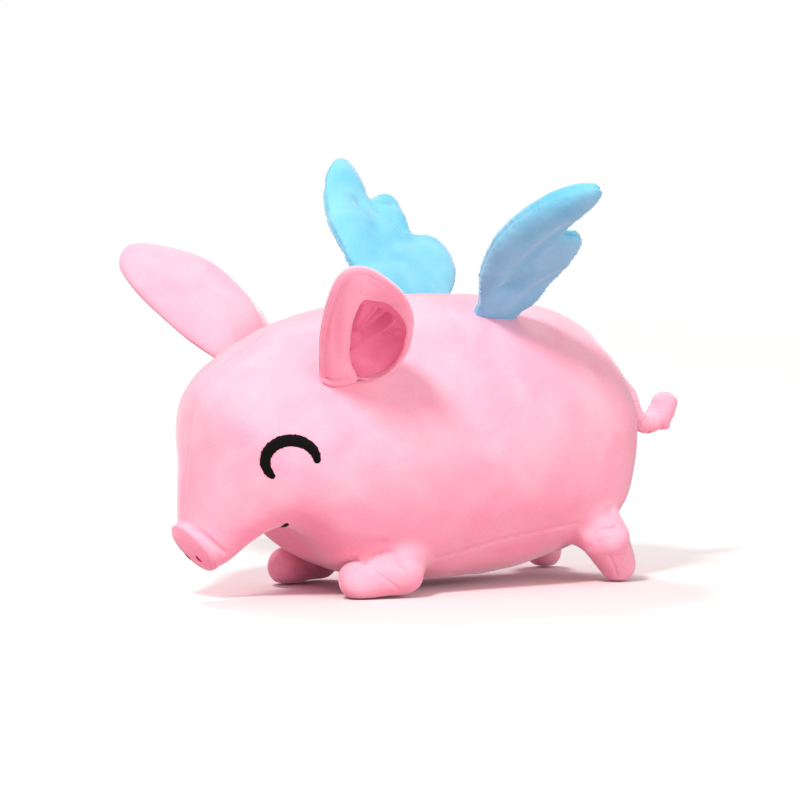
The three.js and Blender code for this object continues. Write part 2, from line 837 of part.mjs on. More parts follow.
// Everything under the gusset's seam, as seen from the side, for cutting the belly from the flanks
function gussetBlock(grow) {
  const seam = gussetSeamShares.map(
    ([back, up]) =>
      new THREE.Vector2(back * halfLength, bodyMiddle + up * halfHeight + grow),
  );
  const curve = new THREE.SplineCurve(seam).getPoints(24);
  const outline = new THREE.Shape();
  outline.moveTo(curve[0].x - grow, -overrun);
  curve.forEach((p) => outline.lineTo(p.x + (p.x < 0 ? -grow : grow), p.y));
  outline.lineTo(curve[curve.length - 1].x + grow, -overrun);
  outline.closePath();
  const block = new THREE.ExtrudeGeometry(outline, { depth: bodyWidth, bevelEnabled: false });
  block.rotateX(Math.PI / 2).rotateZ(Math.PI / 2);
  block.translate(-bodyWidth / 2, 0, 0);
  return solid(block);
}

// Colours of the short-pile velvet and the threads
function velvet(color) {
  return new THREE.MeshStandardMaterial({ color, roughness: 0.95, metalness: 0 });
}

function thread(color) {
  return new THREE.MeshStandardMaterial({ color, roughness: 0.5, metalness: 0 });
}

const bodyPink = () => velvet(0xfcadc1);
const liningPink = () => velvet(0xe8688c);
const wingBlue = () => velvet(0xa8d8f8);
const blackThread = () => thread(0x14100f);
const magentaThread = () => thread(0xa82050);
const whiteFibre = () => velvet(0xf4f2ee);

const pig = new THREE.Group();

// Adds a solid as a named mesh, measured from the hinge of the group that it moves with
function add(name, shape, material, group = pig) {
  const geometry = geometryOf(shape).translate(
    -group.position.x,
    -group.position.y,
    -group.position.z,
  );
  const mesh = new THREE.Mesh(geometry, material);
  mesh.name = name;
  group.add(mesh);
}

// A group that turns about its hinge, whose axis and range in degrees it carries. In the mirror
// image a turn keeps its axis along the side-to-side direction and reverses it along the others.
function hinged(name, hinge, isMirrored) {
  const group = new THREE.Group();
  group.name = name;
  group.position.copy(hinge.point);
  const axis = hinge.axis.clone();
  if (isMirrored) {
    group.position.x *= -1;
    axis.set(axis.x, -axis.y, -axis.z);
  }
  group.userData = { axis: axis.toArray(), range: hinge.range };
  pig.add(group);
  return group;
}

const leftEar = ear();
const leftWing = wing(leftFeatherShares, leftPalmShares);
const rightWing = wing(rightFeatherShares, rightPalmShares);
const frontLeg = leg(
  frontHipRadius,
  frontHipBackShare,
  frontHipRiseShare,
  frontFootRadius,
  frontFootBackShare,
);
const rearLeg = leg(
  rearHipRadius,
  rearHipBackShare,
  rearHipRiseShare,
  rearFootRadius,
  rearFootBackShare,
);
const curledTail = tail();

const sockets = [curledTail.socket];
for (const { socket } of [leftEar, leftWing, frontLeg, rearLeg]) {
  sockets.push(socket, mirrored(socket));
}
const allSockets = sockets.reduce((joined, next) => joined.add(next));

const skin = bodyOuter.subtract(bodySolid(skinThickness)).subtract(allSockets);
const leftSide = halfSpace(new THREE.Vector3(sewingGap / 2, 0, 0), X);
const flank = largest(skin.subtract(gussetBlock(sewingGap)).intersect(leftSide));
const gusset = largest(skin.intersect(gussetBlock(0)));
const filling = largest(bodySolid(skinThickness + sewingGap).subtract(allSockets));

add("body_panel_left", flank, bodyPink());
add("body_panel_right", mirrored(flank), bodyPink());
add("belly_gusset", gusset, bodyPink());
add("body_filling", filling, whiteFibre());
add("snout_disc", snoutDisc(), bodyPink());

const fixedPairs = [
  ["nostril", nostril(), magentaThread],
  ["eye", eye(), blackThread],
  ["mouth", mouth(), blackThread],
];
for (const [name, shape, material] of fixedPairs) {
  add(name + "_left", shape, material());
  add(name + "_right", mirrored(shape), material());
}

const earPieces = [
  ["ear_cover", leftEar.outer, bodyPink],
  ["ear_lining", leftEar.lining, liningPink],
];
const wingPieces = ({ upper, lower }) => [
  ["wing_upper_panel", upper, wingBlue],
  ["wing_lower_panel", lower, wingBlue],
];
const frontLegPieces = [["front_leg", frontLeg.piece, bodyPink]];
const rearLegPieces = [["rear_leg", rearLeg.piece, bodyPink]];

// Each moving pair with its hinge, and the pieces of the left one and of the right one, which are
// all made on the left
const movingPairs = [
  ["ear", leftEar.hinge, earPieces, earPieces],
  ["wing", leftWing.hinge, wingPieces(leftWing), wingPieces(rightWing)],
  ["front_limb", frontLeg.hinge, frontLegPieces, frontLegPieces],
  ["rear_limb", rearLeg.hinge, rearLegPieces, rearLegPieces],
];
for (const [groupName, hinge, leftPieces, rightPieces] of movingPairs) {
  const leftGroup = hinged(groupName + "_left", hinge, false);
  for (const [name, shape, material] of leftPieces) {
    add(name + "_left", shape, material(), leftGroup);
  }
  const rightGroup = hinged(groupName + "_right", hinge, true);
  for (const [name, shape, material] of rightPieces) {
    add(name + "_right", mirrored(shape), material(), rightGroup);
  }
}
add("tail", curledTail.piece, bodyPink(), hinged("curl", curledTail.hinge, false));

// The origin goes on the ground under the middle of the whole pig, whose left wing reaches further
const extent = new THREE.Box3().setFromObject(pig);
const whole = new THREE.Group();
whole.add(pig);
pig.position.set(-(extent.min.x + extent.max.x) / 2, -(extent.min.y + extent.max.y) / 2, -extent.min.z);

export default whole;
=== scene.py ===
# A stuffed velvet pig with wings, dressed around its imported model. Metres, +Z up, the snout
# faces -Y and the pig's left is +X. Lengths are written in millimetres and turned to metres once.
import math

import bpy
import numpy as np
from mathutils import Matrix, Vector
from mathutils.bvhtree import BVHTree
from mathutils.kdtree import KDTree


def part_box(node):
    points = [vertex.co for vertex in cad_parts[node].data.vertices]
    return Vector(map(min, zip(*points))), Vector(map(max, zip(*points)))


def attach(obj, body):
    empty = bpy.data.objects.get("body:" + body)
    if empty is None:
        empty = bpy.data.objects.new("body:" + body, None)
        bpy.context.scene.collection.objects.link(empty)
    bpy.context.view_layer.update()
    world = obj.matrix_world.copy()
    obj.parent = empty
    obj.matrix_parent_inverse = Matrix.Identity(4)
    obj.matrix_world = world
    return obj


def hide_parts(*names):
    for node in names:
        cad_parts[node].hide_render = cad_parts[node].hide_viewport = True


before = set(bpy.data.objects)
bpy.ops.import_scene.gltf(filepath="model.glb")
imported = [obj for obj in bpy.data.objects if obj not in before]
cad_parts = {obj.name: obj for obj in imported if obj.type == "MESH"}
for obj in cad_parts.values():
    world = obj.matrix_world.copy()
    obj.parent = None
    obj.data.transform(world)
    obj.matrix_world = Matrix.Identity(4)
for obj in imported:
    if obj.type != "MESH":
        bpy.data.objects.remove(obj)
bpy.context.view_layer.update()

MM = 0.001
TAU = 2 * math.pi

# The middle of the body lies a little in front of the middle of the whole pig with its tail, and
# beside it, because the left wing reaches further than the right one
BODY_HALF_LENGTH = 165
BODY_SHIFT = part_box("body_panel_left")[1][1] / MM - BODY_HALF_LENGTH
BODY_SIDE_SHIFT = (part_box("snout_disc")[0][0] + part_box("snout_disc")[1][0]) / 2 / MM

# The camera, at the photograph's angle and distance. PIXEL is millimetres for one photo pixel.
CAMERA_AZIMUTH = math.radians(60)
CAMERA_ELEVATION = math.radians(5.6)
CAMERA_DISTANCE = 6000
PIXEL = 0.65
PHOTO_WIDTH = 800
SENSOR_WIDTH = 36
TARGET = np.array([0, 0, 130])
TARGET_PIXEL = (402, 387.5)

VIEW_BACK = np.array([
    math.sin(CAMERA_AZIMUTH) * math.cos(CAMERA_ELEVATION),
    -math.cos(CAMERA_AZIMUTH) * math.cos(CAMERA_ELEVATION),
    math.sin(CAMERA_ELEVATION),
])
VIEW_RIGHT = np.array([math.cos(CAMERA_AZIMUTH), math.sin(CAMERA_AZIMUTH), 0])
VIEW_UP = np.cross(VIEW_BACK, VIEW_RIGHT)
HALF_PHOTO = PHOTO_WIDTH / 2
AIM = (
    TARGET
    + VIEW_RIGHT * (HALF_PHOTO - TARGET_PIXEL[0]) * PIXEL
    + VIEW_UP * (TARGET_PIXEL[1] - HALF_PHOTO) * PIXEL
)
EYE_POINT = AIM + VIEW_BACK * CAMERA_DISTANCE


def metres(points):
    """Millimetres round the body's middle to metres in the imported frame."""
    return (np.asarray(points, float) + np.array([BODY_SIDE_SHIFT, BODY_SHIFT, 0])) * MM


def photo_ray(x, y):
    """The direction from the camera through a point of the photograph."""
    seen = AIM + VIEW_RIGHT * (x - HALF_PHOTO) * PIXEL + VIEW_UP * (HALF_PHOTO - y) * PIXEL
    way = seen - EYE_POINT
    return way / np.linalg.norm(way)


camera_data = bpy.data.cameras.new("camera")
camera_data.sensor_width = SENSOR_WIDTH
camera_data.sensor_fit = "HORIZONTAL"
camera_data.lens = CAMERA_DISTANCE / PIXEL / PHOTO_WIDTH * SENSOR_WIDTH
camera_data.clip_end = 10 * CAMERA_DISTANCE * MM
camera = bpy.data.objects.new("camera", camera_data)
bpy.context.collection.objects.link(camera)
camera.location = metres(EYE_POINT)
camera.rotation_euler = (math.pi / 2 - CAMERA_ELEVATION, 0, CAMERA_AZIMUTH)
bpy.context.scene.camera = camera

# Meshes


def mesh_object(name, points, faces, material):
    mesh = bpy.data.meshes.new(name)
    mesh.from_pydata(metres(points).tolist(), [], faces)
    mesh.validate()
    for face in mesh.polygons:
        face.use_smooth = True
    mesh.materials.append(material)
    made = bpy.data.objects.new(name, mesh)
    bpy.context.collection.objects.link(made)
    return made


def skin_faces(rows, columns):
    """Faces of a closed skin over rings, whose first and last points are single poles."""
    faces = []
    for r in range(rows - 1):
        for c in range(columns):
            n = (c + 1) % columns
            a, b = 1 + r * columns + c, 1 + r * columns + n
            faces.append((a, b, b + columns, a + columns))
    last = 1 + rows * columns
    for c in range(columns):
        n = (c + 1) % columns
        faces.append((0, 1 + n, 1 + c))
        faces.append((last, last - columns + c, last - columns + n))
    return faces


def closed_skin(rings):
    """Points and faces of a skin over an array of rings, closed by a pole at each end."""
    rows, columns = rings.shape[:2]
    points = np.vstack([
        rings[0].mean(axis=0)[None],
        rings.reshape(-1, 3),
        rings[-1].mean(axis=0)[None],
    ])
    return points, outward(points, skin_faces(rows, columns))


# Whether a skin is inside out shows in its volume, worked out from about this many of its faces
FACES_FOR_VOLUME = 4000


def outward(points, faces):
    """Turns all faces round if the skin is inside out."""
    volume = 0
    middle = points.mean(axis=0)
    for face in faces[:: max(1, len(faces) // FACES_FOR_VOLUME)]:
        a, b, c = points[face[0]], points[face[1]], points[face[2]]
        volume += np.dot(a - middle, np.cross(b - middle, c - middle))
    return faces if volume > 0 else [tuple(reversed(face)) for face in faces]


def mirrored(points, faces):
    return points * np.array([-1, 1, 1]), [tuple(reversed(face)) for face in faces]


def ring_normals(rings):
    """Outward normals of an array of rings, found from its neighbours."""
    around = np.roll(rings, -1, axis=1) - np.roll(rings, 1, axis=1)
    along = np.gradient(rings, axis=0)
    normals = np.cross(along, around)
    normals /= np.linalg.norm(normals, axis=2, keepdims=True) + 1e-9
    outwards = rings - rings.mean(axis=1, keepdims=True)
    if (normals * outwards).sum() < 0:
        normals = -normals
    return normals


LUMP_WAVES = 14


def lumps(points, wavelength, seed):
    """Smooth random unevenness between about -1 and 1, as uneven filling gives."""
    random = np.random.default_rng(seed)
    ways = random.normal(size=(LUMP_WAVES, 3))
    ways /= np.linalg.norm(ways, axis=1, keepdims=True)
    lengths = wavelength * random.uniform(0.7, 1.5, LUMP_WAVES)
    phases = random.uniform(0, TAU, LUMP_WAVES)
    total = np.zeros(points.shape[:-1])
    for way, length, phase in zip(ways, lengths, phases):
        total += np.sin(points @ way * (TAU / length) + phase)
    return total / math.sqrt(LUMP_WAVES)


def spline(points, count):
    """A smooth line through points: a uniform Catmull-Rom spline."""
    points = np.asarray(points, float)
    padded = np.vstack([2 * points[0] - points[1], points, 2 * points[-1] - points[-2]])
    t = np.linspace(0, len(points) - 1, count)
    k = np.minimum(t.astype(int), len(points) - 2)
    u = (t - k)[:, None]
    p0, p1, p2, p3 = padded[k], padded[k + 1], padded[k + 2], padded[k + 3]
    m1, m2 = (p2 - p0) / 2, (p3 - p1) / 2
    return (
        (2 * u**3 - 3 * u**2 + 1) * p1
        + (u**3 - 2 * u**2 + u) * m1
        + (3 * u**2 - 2 * u**3) * p2
        + (u**3 - u**2) * m2
    )


# A groove ends this many widths from its line, and fades in over this share of its length
GROOVE_REACH = 3
GROOVE_FADE_SHARE = 1 / 8


def groove(points, line, width, depth, pucker=0, pitch=6):
    """How far points sink into a sewn or folded groove along a line, less towards its ends. A
    ridge, whose depth is less than zero, keeps its height up to them."""
    line = np.asarray(line, float)
    steps = np.linalg.norm(np.diff(line, axis=0), axis=1)
    run = np.concatenate([[0], np.cumsum(steps)])
    tree = KDTree(len(line))
    for i, p in enumerate(line):
        tree.insert(p, i)
    tree.balance()
    flat = points.reshape(-1, 3)
    reach = GROOVE_REACH * width
    low, high = line.min(axis=0) - reach, line.max(axis=0) + reach
    near = np.flatnonzero(((flat > low) & (flat < high)).all(axis=1))
    sunk = np.zeros(len(flat))
    for i in near:
        _, k, distance = tree.find(flat[i])
        if distance > reach:
            continue
        share = run[k] / run[-1]
        fade = min(share, 1 - share) / GROOVE_FADE_SHARE
        ends = min(1, fade) if depth > 0 else 1
        gather = 1 + pucker * math.sin(TAU * run[k] / pitch)
        sunk[i] = depth * ends * gather * math.exp(-((distance / width) ** 2))
    return sunk.reshape(points.shape[:-1])


# Materials


def linear(text):
    """An sRGB hex colour as linear red, green, blue and alpha."""
    values = [int(text[i : i + 2], 16) / 255 for i in (1, 3, 5)]
    return tuple(v / 12.92 if v <= 0.04045 else ((v + 0.055) / 1.055) ** 2.4 for v in values) + (1,)


def add_node(tree, kind, inputs=None, **settings):
    node = tree.nodes.new(kind)
    for key, value in settings.items():
        setattr(node, key, value)
    for key, value in (inputs or {}).items():
        if isinstance(value, bpy.types.NodeSocket):
            tree.links.new(value, node.inputs[key])
        else:
            node.inputs[key].default_value = value
    return node


def new_material(name):
    material = bpy.data.materials.new(name)
    material.use_nodes = True
    material.node_tree.nodes.clear()
    return material, material.node_tree


# Polyester velvet with a short pile of about 1.5 mm, knitted and brushed. Its upright fibres make
# it deep in colour from above and pale towards its edges, matt, with patches where the pile leans.
# Its fibres, about 0.02 mm thick, are too fine to show, so they are drawn as tufts of 0.9 mm. The
# pile leans in patches about 34 mm wide, as hands leave it, with brush marks of about 7 mm.
PILE_TUFT = 0.9
PILE_LEAN = 34
PILE_STREAK = 7
PILE_STREAK_HEIGHT = 0.5
PILE_ROUGHNESS = 0.92


def pile_velvet(name, colour, leaning_colour, sheen_colour, sheen, tuft_height):
    material, tree = new_material(name)
    place = add_node(tree, "ShaderNodeTexCoord").outputs["Object"]
    lean = add_node(tree, "ShaderNodeTexNoise", {
        "Vector": place, "Scale": 1 / (PILE_LEAN * MM),
        "Detail": 2.5, "Roughness": 0.5, "Distortion": 0.6,
    })
    patch = add_node(tree, "ShaderNodeValToRGB", {"Fac": lean.outputs["Fac"]})
    patch.color_ramp.elements[0].position = 0.36
    patch.color_ramp.elements[1].position = 0.66
    patch.color_ramp.elements[0].color = linear(colour)
    patch.color_ramp.elements[1].color = linear(leaning_colour)
    tufts = add_node(tree, "ShaderNodeTexNoise", {
        "Vector": place, "Scale": 1 / (PILE_TUFT * MM), "Detail": 2, "Roughness": 0.6,
    })
    streaks = add_node(tree, "ShaderNodeTexNoise", {
        "Vector": place, "Scale": 1 / (PILE_STREAK * MM), "Detail": 3, "Roughness": 0.55,
    })
    shade = add_node(tree, "ShaderNodeMapRange", {
        "Value": tufts.outputs["Fac"], "From Min": 0.3, "From Max": 0.7, "To Min": 0.93, "To Max": 1.05,
    })
    tinted = add_node(tree, "ShaderNodeMix", {
        "Factor": 1.0, "A": patch.outputs["Color"], "B": shade.outputs["Result"],
    }, data_type="RGBA", blend_type="MULTIPLY")
    low = add_node(tree, "ShaderNodeBump", {
        "Height": streaks.outputs["Fac"], "Strength": 0.35, "Distance": PILE_STREAK_HEIGHT * MM,
    })
    fine = add_node(tree, "ShaderNodeBump", {
        "Height": tufts.outputs["Fac"], "Strength": 0.55, "Distance": tuft_height * MM,
        "Normal": low.outputs["Normal"],
    })
    shader = add_node(tree, "ShaderNodeBsdfPrincipled", {
        "Base Color": tinted.outputs["Result"], "Roughness": PILE_ROUGHNESS,
        "Normal": fine.outputs["Normal"],
        "Specular IOR Level": 0.5, "Sheen Weight": sheen, "Sheen Roughness": 0.3,
        "Sheen Tint": linear(sheen_colour),
    })
    add_node(tree, "ShaderNodeOutputMaterial", {"Surface": shader.outputs["BSDF"]})
    return material


# Embroidery thread is about 0.4 mm thick, drawn twice as thick so that its strands show
STRAND_WIDTH = 0.8
STRAND_HEIGHT = 0.15


def embroidery(name, colour):
    """Rayon thread in satin stitch: fine parallel strands with a soft gleam."""
    material, tree = new_material(name)
    place = add_node(tree, "ShaderNodeTexCoord").outputs["Object"]
    strands = add_node(tree, "ShaderNodeTexNoise", {
        "Vector": place, "Scale": 1 / (STRAND_WIDTH * MM), "Detail": 2, "Roughness": 0.6,
    })
    bump = add_node(tree, "ShaderNodeBump", {
        "Height": strands.outputs["Fac"], "Strength": 0.3, "Distance": STRAND_HEIGHT * MM,
    })
    shader = add_node(tree, "ShaderNodeBsdfPrincipled", {
        "Base Color": linear(colour), "Roughness": 0.55, "Normal": bump.outputs["Normal"],
        "Specular IOR Level": 0.08,
    })
    add_node(tree, "ShaderNodeOutputMaterial", {"Surface": shader.outputs["BSDF"]})
    return material


# The velvets' colour, their colour where the pile leans, the sheen of the fibre tips and its weight,
# and the height of the tufts. The lining has a shorter pile, so it is less pale at its edges.
# Its pink is deeper than the body's. Part of that is its own colour, and part is painted shade,
# darkened for the shade in the ear's hollow under the rolled rim.
PINK_VELVET = pile_velvet("pink_pile_velvet", "#FBB0C6", "#FCBED0", "#FFF8FA", 1, 0.5)
LINING_VELVET = pile_velvet("deep_pink_lining_velvet_with_painted_shade", "#E47B9E", "#EE8EAC", "#FFDCE7", 0.4, 0.4)
BLUE_VELVET = pile_velvet("blue_pile_velvet", "#70C8E6", "#8AD4EF", "#F0FAFF", 0.6, 0.7)
BLACK_THREAD = embroidery("black_satin_stitch_thread", "#050304")
MAGENTA_THREAD = embroidery("magenta_satin_stitch_thread", "#B22A5A")

# Body and head, one stuffed form without a neck seam: half its width and height, how high its
# middle is over the ground, and how much lower the end of its rump hangs, all in millimetres
BODY_HALF_WIDTH = 85
BODY_HALF_HEIGHT = 92.5
BODY_MIDDLE = 97.5
RUMP_DROP = 5
# How full its outlines are, along it and across it: 2 gives an ellipse, and more a squarer form
LENGTHWISE_POWER = 2.6
SECTION_POWER = 2.12

# The rump is a blunt oval whose quarter turn stops where the front's sections take over. A
# crowding over 1 brings its rings closer together towards its end.
REAR_TURN = math.radians(78.75)
REAR_CROWDING = 1.25

# Sections from the middle of the body to the seat of the snout disc: forward, over the middle,
# tilt in degrees, and the reach to the side, up and down, as shares of the half sizes.
HEAD_SECTION_SHARES = [
    (0, 0, 0, 1, 1, 1),
    (0.242, 0, 0, 0.985, 0.97, 0.955),
    (0.4545, -0.017, 4, 0.94, 0.893, 0.873),
    (0.606, -0.072, 14, 0.85, 0.8, 0.696),
    (0.739, -0.21, 25, 0.69, 0.7, 0.46),
    (0.832, -0.42, 34, 0.447, 0.42, 0.36),
    (0.885, -0.575, 38, 0.304, 0.267, 0.267),
    (0.912, -0.65, 38, 0.242, 0.205, 0.219),
]
# The belly gusset's seam on one side: back and rise from the body's middle
GUSSET_SEAM_SHARES = [
    (-0.69, -0.58), (-0.62, -0.65), (-0.51, -0.71), (-0.36, -0.77), (-0.05, -0.79),
    (0.27, -0.68), (0.55, -0.61), (0.72, -0.56), (0.86, -0.5),
]
GUSSET_SAMPLES = 400
BODY_COLUMNS = 320
REAR_RINGS = 90
FRONT_RINGS = 170


def signed_power(value, power):
    return np.sign(value) * np.abs(value) ** power


def body_sections():
    """Rows of place and size of each section, from the rump to the seat of the snout disc."""
    turn = REAR_TURN * np.linspace(0.004, 1, REAR_RINGS, endpoint=False) ** REAR_CROWDING
    back = np.cos(turn) ** (2 / LENGTHWISE_POWER)
    size = np.sin(turn) ** (2 / LENGTHWISE_POWER)
    drop = -RUMP_DROP * back**2 / BODY_HALF_HEIGHT
    rear = np.stack([-back, drop, 0 * back, size, size, size], axis=1)
    last_back = math.cos(REAR_TURN) ** (2 / LENGTHWISE_POWER)
    last_size = math.sin(REAR_TURN) ** (2 / LENGTHWISE_POWER)
    guide = [(-last_back, 0, 0, last_size, last_size, last_size)] + HEAD_SECTION_SHARES
    front = spline(guide, FRONT_RINGS)
    return np.vstack([rear, front])


def body_rings():
    angle = np.linspace(0, TAU, BODY_COLUMNS, endpoint=False)
    reach = signed_power(np.sin(angle), 2 / SECTION_POWER)
    across = signed_power(np.cos(angle), 2 / SECTION_POWER)
    rings = []
    for forward, over, tilt, side, up, down in body_sections():
        rise = reach * np.where(reach > 0, up, down) * BODY_HALF_HEIGHT
        lean = math.radians(tilt)
        rings.append(np.stack([
            across * side * BODY_HALF_WIDTH,
            -forward * BODY_HALF_LENGTH - rise * math.sin(lean),
            BODY_MIDDLE + over * BODY_HALF_HEIGHT + rise * math.cos(lean),
        ], axis=1))
    return np.array(rings)


def tree_of(points, faces):
    return BVHTree.FromPolygons([Vector(p) for p in points], faces)


def on_tree(tree, start, way):
    hit, normal, _, _ = tree.ray_cast(Vector(start), Vector(way))
    return (np.array(hit), np.array(normal)) if hit is not None else None


plain_rings = body_rings()
plain_points, plain_faces = closed_skin(plain_rings)
plain_body = tree_of(plain_points, plain_faces)


def gusset_seam():
    """The belly seam on the pig's left, from the throat to under the rump."""
    shares = spline(GUSSET_SEAM_SHARES, GUSSET_SAMPLES)
    line = []
    for back, up in shares:
        start = (BODY_HALF_WIDTH * 2, back * BODY_HALF_LENGTH, BODY_MIDDLE + up * BODY_HALF_HEIGHT)
        hit = on_tree(plain_body, start, (-1, 0, 0))
        if hit:
            line.append(hit[0])
    return np.array(line)


def body_point(out, back, rise):
    """A place given as shares of the body's half sizes from its middle."""
    return np.array([
        out * BODY_HALF_WIDTH,
        back * BODY_HALF_LENGTH,
        BODY_MIDDLE + rise * BODY_HALF_HEIGHT,
    ])


# How far over the ground the rays start that look for a root's place on the back
BACK_SEARCH = 400


def on_top(out_share, back_share):
    """The place on the body straight under shares of its half width and half length."""
    start = (out_share * BODY_HALF_WIDTH, back_share * BODY_HALF_LENGTH, BACK_SEARCH)
    return on_tree(plain_body, start, (0, 0, -1))[0]


def unit(vector):
    return np.asarray(vector, float) / np.linalg.norm(vector)


def smooth_step(value):
    value = np.clip(value, 0, 1)
    return value * value * (3 - 2 * value)


def soft_minimum(a, b, reach):
    """The smaller of two distances, rounded over where they are alike."""
    h = np.clip(0.5 + 0.5 * (b - a) / reach, 0, 1)
    return b + (a - b) * h - reach * h * (1 - h)


def rod_distance(points, start, end, start_radius, end_radius):
    """The distance from a round rod with two radii, less than zero inside it."""
    way = end - start
    share = np.clip((points - start) @ way / (way @ way), 0, 1)
    gap = np.linalg.norm(points - start - share[..., None] * way, axis=-1)
    return gap - (start_radius + (end_radius - start_radius) * share)


# Each leg: the hip's and the foot's places as shares of the body's half sizes, the radii, how far
# along the leg the body's fabric reaches as a sleeve, and how softly it runs into the leg
HIP_OUT_SHARE = 0.635
FOOT_OUT_SHARE = 0.547
LEGS = {
    "front": dict(hip_back=-0.194, hip_rise=-0.873, hip_radius=15, foot_back=-0.358, foot_radius=13,
                  sleeve=0.5, blend=14, seed=31),
    "rear": dict(hip_back=0.733, hip_rise=-0.719, hip_radius=16, foot_back=0.824, foot_radius=11.6,
                 sleeve=0.6, blend=14, seed=32),
}
# How far a foot is pressed into the ground, how far the sleeve stands off the leg at the hip, and
# how far its end is drawn in so that it is lost in the leg
FOOT_PRESSED = 0.6
SLEEVE_EXTRA = 0.4
SLEEVE_TUCK = 2.2
# How many times its blend the sleeve spreads over the body past its own radius
SLEEVE_SPREAD = 2.6
# The sleeve is looked for outward from the body in steps, from the first one to past its radius
SLEEVE_STEPS = 70
SLEEVE_FIRST_STEP = 0.25
SLEEVE_OVERSHOOT = 12
# A foot's sole: over what height it flattens, and how far it stays over the floor
SOLE_BEND = 2.35
SOLE_GAP = 0.15
# How near their poles a leg's round ends come, in half turns
POLE_SHARE = 0.48
LEG_END_RINGS = 30
LEG_CONE_RINGS = 36
LEG_COLUMNS = 120
LEG_LUMP_HEIGHT = 0.45
LEG_LUMP_LENGTH = 20


def leg_line(leg):
    hip = body_point(HIP_OUT_SHARE, leg["hip_back"], leg["hip_rise"])
    foot = body_point(FOOT_OUT_SHARE, leg["foot_back"], 0)
    foot[2] = leg["foot_radius"] - FOOT_PRESSED
    return hip, foot


def shoulder_heights(rings, normals):
    """How far the body's fabric stands out where it runs down into the legs."""
    heights = np.zeros(rings.shape[:2])
    for leg in LEGS.values():
        hip, foot = leg_line(leg)
        end = hip + (foot - hip) * leg["sleeve"]
        radius = leg["hip_radius"] + SLEEVE_EXTRA
        end_radius = radius + (leg["foot_radius"] - leg["hip_radius"]) * leg["sleeve"] - SLEEVE_TUCK
        for side in (1, -1):
            flip = np.array([side, 1, 1])
            spread = radius + SLEEVE_SPREAD * leg["blend"]
            near = np.linalg.norm(rings - hip * flip, axis=-1) < spread
            starts, ways = rings[near], normals[near]
            best = np.zeros(len(starts))
            for height in np.linspace(SLEEVE_FIRST_STEP, radius + SLEEVE_OVERSHOOT, SLEEVE_STEPS):
                at = starts + ways * height
                rod = rod_distance(at, hip * flip, end * flip, radius, end_radius)
                best = np.where(soft_minimum(height, rod, leg["blend"]) < 0, height, best)
            heights[near] = np.maximum(heights[near], best)
    return heights


def evened(values, times):
    """Neighbouring values of a grid that closes round its columns, brought closer together."""
    for _ in range(times):
        along = np.vstack([values[:1], values, values[-1:]])
        values = (values * 2 + along[:-2] + along[2:]) / 4
        values = (values * 2 + np.roll(values, 1, axis=1) + np.roll(values, -1, axis=1)) / 4
    return values


# Where the stuffing pushes the fabric out or leaves it hollow: left or middle, back and rise as
# shares of the half sizes, the reach and the height in millimetres
FULLNESS = [
    (0, 0.8, 0.75, 60, 1.5),
    (0, -0.64, -0.76, 64, -5.5),
    (0, -0.53, -0.84, 44, -7),
    (0, 1, -0.12, 70, -2.5),
    (0.5, 0.87, -0.52, 42, 4),
    (0.75, -0.74, -0.35, 45, 1.5),
]

# Folds of the near side, as points of the photograph: over the front leg, at the rear hip, at the
# corner of the mouth and behind the snout disc. Then their width and depth in millimetres.
BODY_FOLD_PIXELS = [
    ([(352, 567), (366, 561), (374, 556), (386, 553), (400, 555)], 2, 2.4),
    ([(373, 566), (384, 562), (396, 565), (404, 571)], 2, 1.6),
    ([(366, 545), (377, 541), (388, 542)], 2.2, 0.9),
    ([(583, 531), (592, 525), (602, 517), (616, 509)], 2.5, 3.2),
    ([(585, 535), (594, 532), (604, 529), (622, 528)], 2.1, 2.6),
    ([(262, 536), (272, 531), (283, 527)], 2.6, 0.7),
    ([(190, 528), (201, 534), (214, 544), (227, 555)], 1.8, 1.3),
]
# The seams of the leg panels, from the belly's seam down to the foot
LEG_SEAM_PIXELS = [
    [(362, 562), (370, 568), (379, 575), (388, 581), (396, 587), (400, 592)],
    [(584, 532), (593, 538), (601, 546), (609, 556), (614, 566), (617, 576), (618, 584)],
]
LEG_SEAM_WIDTH = 0.9
LEG_SEAM_DEPTH = 0.6
# The seams between the body's panels, puckered at every stitch
SEAM_WIDTH = 1.3
SEAM_DEPTH = 1.1
SEAM_PUCKER_SHARE = 0.25
SEAM_STITCH = 5
# The top seam starts at the rump's third ring, and the chin's runs over the last rings. Both and
# the gusset's are thinned to every fourth point and then drawn with this many points.
TOP_SEAM_FIRST_RING = 2
CHIN_SEAM_RINGS = 60
SEAM_THINNING = 4
SEAM_SAMPLES = 900
# The line of a fold or of a leg's seam is laid on the pieces with this many points
FOLD_SAMPLES = 120
# The unevenness of the body's filling: its height, its length and the seed of its random waves
BODY_LUMPS = [(0.9, 85, 3), (0.22, 26, 5)]
# How far behind the snout disc's seat the fullness and the lumps begin, and over what length they
# grow, so that the muzzle's edge stays round
FULLNESS_FADE = (2, 22)
LUMPS_FADE = (4, 20)

# The snout disc's radius and thickness, how far its face crowns, and how it sits on the muzzle
DISC_RADIUS = 20.5
DISC_THICKNESS = 7
DISC_CROWN = 3.4
last_section = HEAD_SECTION_SHARES[-1]
DISC_TILT = math.radians(last_section[2])
DISC_FACING = np.array([0, -math.cos(DISC_TILT), -math.sin(DISC_TILT)])
DISC_UP = np.array([0, -math.sin(DISC_TILT), math.cos(DISC_TILT)])
DISC_SEAT = np.array([
    0,
    -last_section[0] * BODY_HALF_LENGTH,
    BODY_MIDDLE + last_section[1] * BODY_HALF_HEIGHT,
])
# The padded edge of the muzzle, in front of its last section: distance forward, share of its size
MUZZLE_EDGE = [
    (0.7, 0.985), (1.4, 0.975), (2.1, 0.97), (2.8, 0.97), (3.5, 0.97), (4.2, 0.967),
    (4.8, 0.958), (5.3, 0.94), (5.3, 0.9),
]


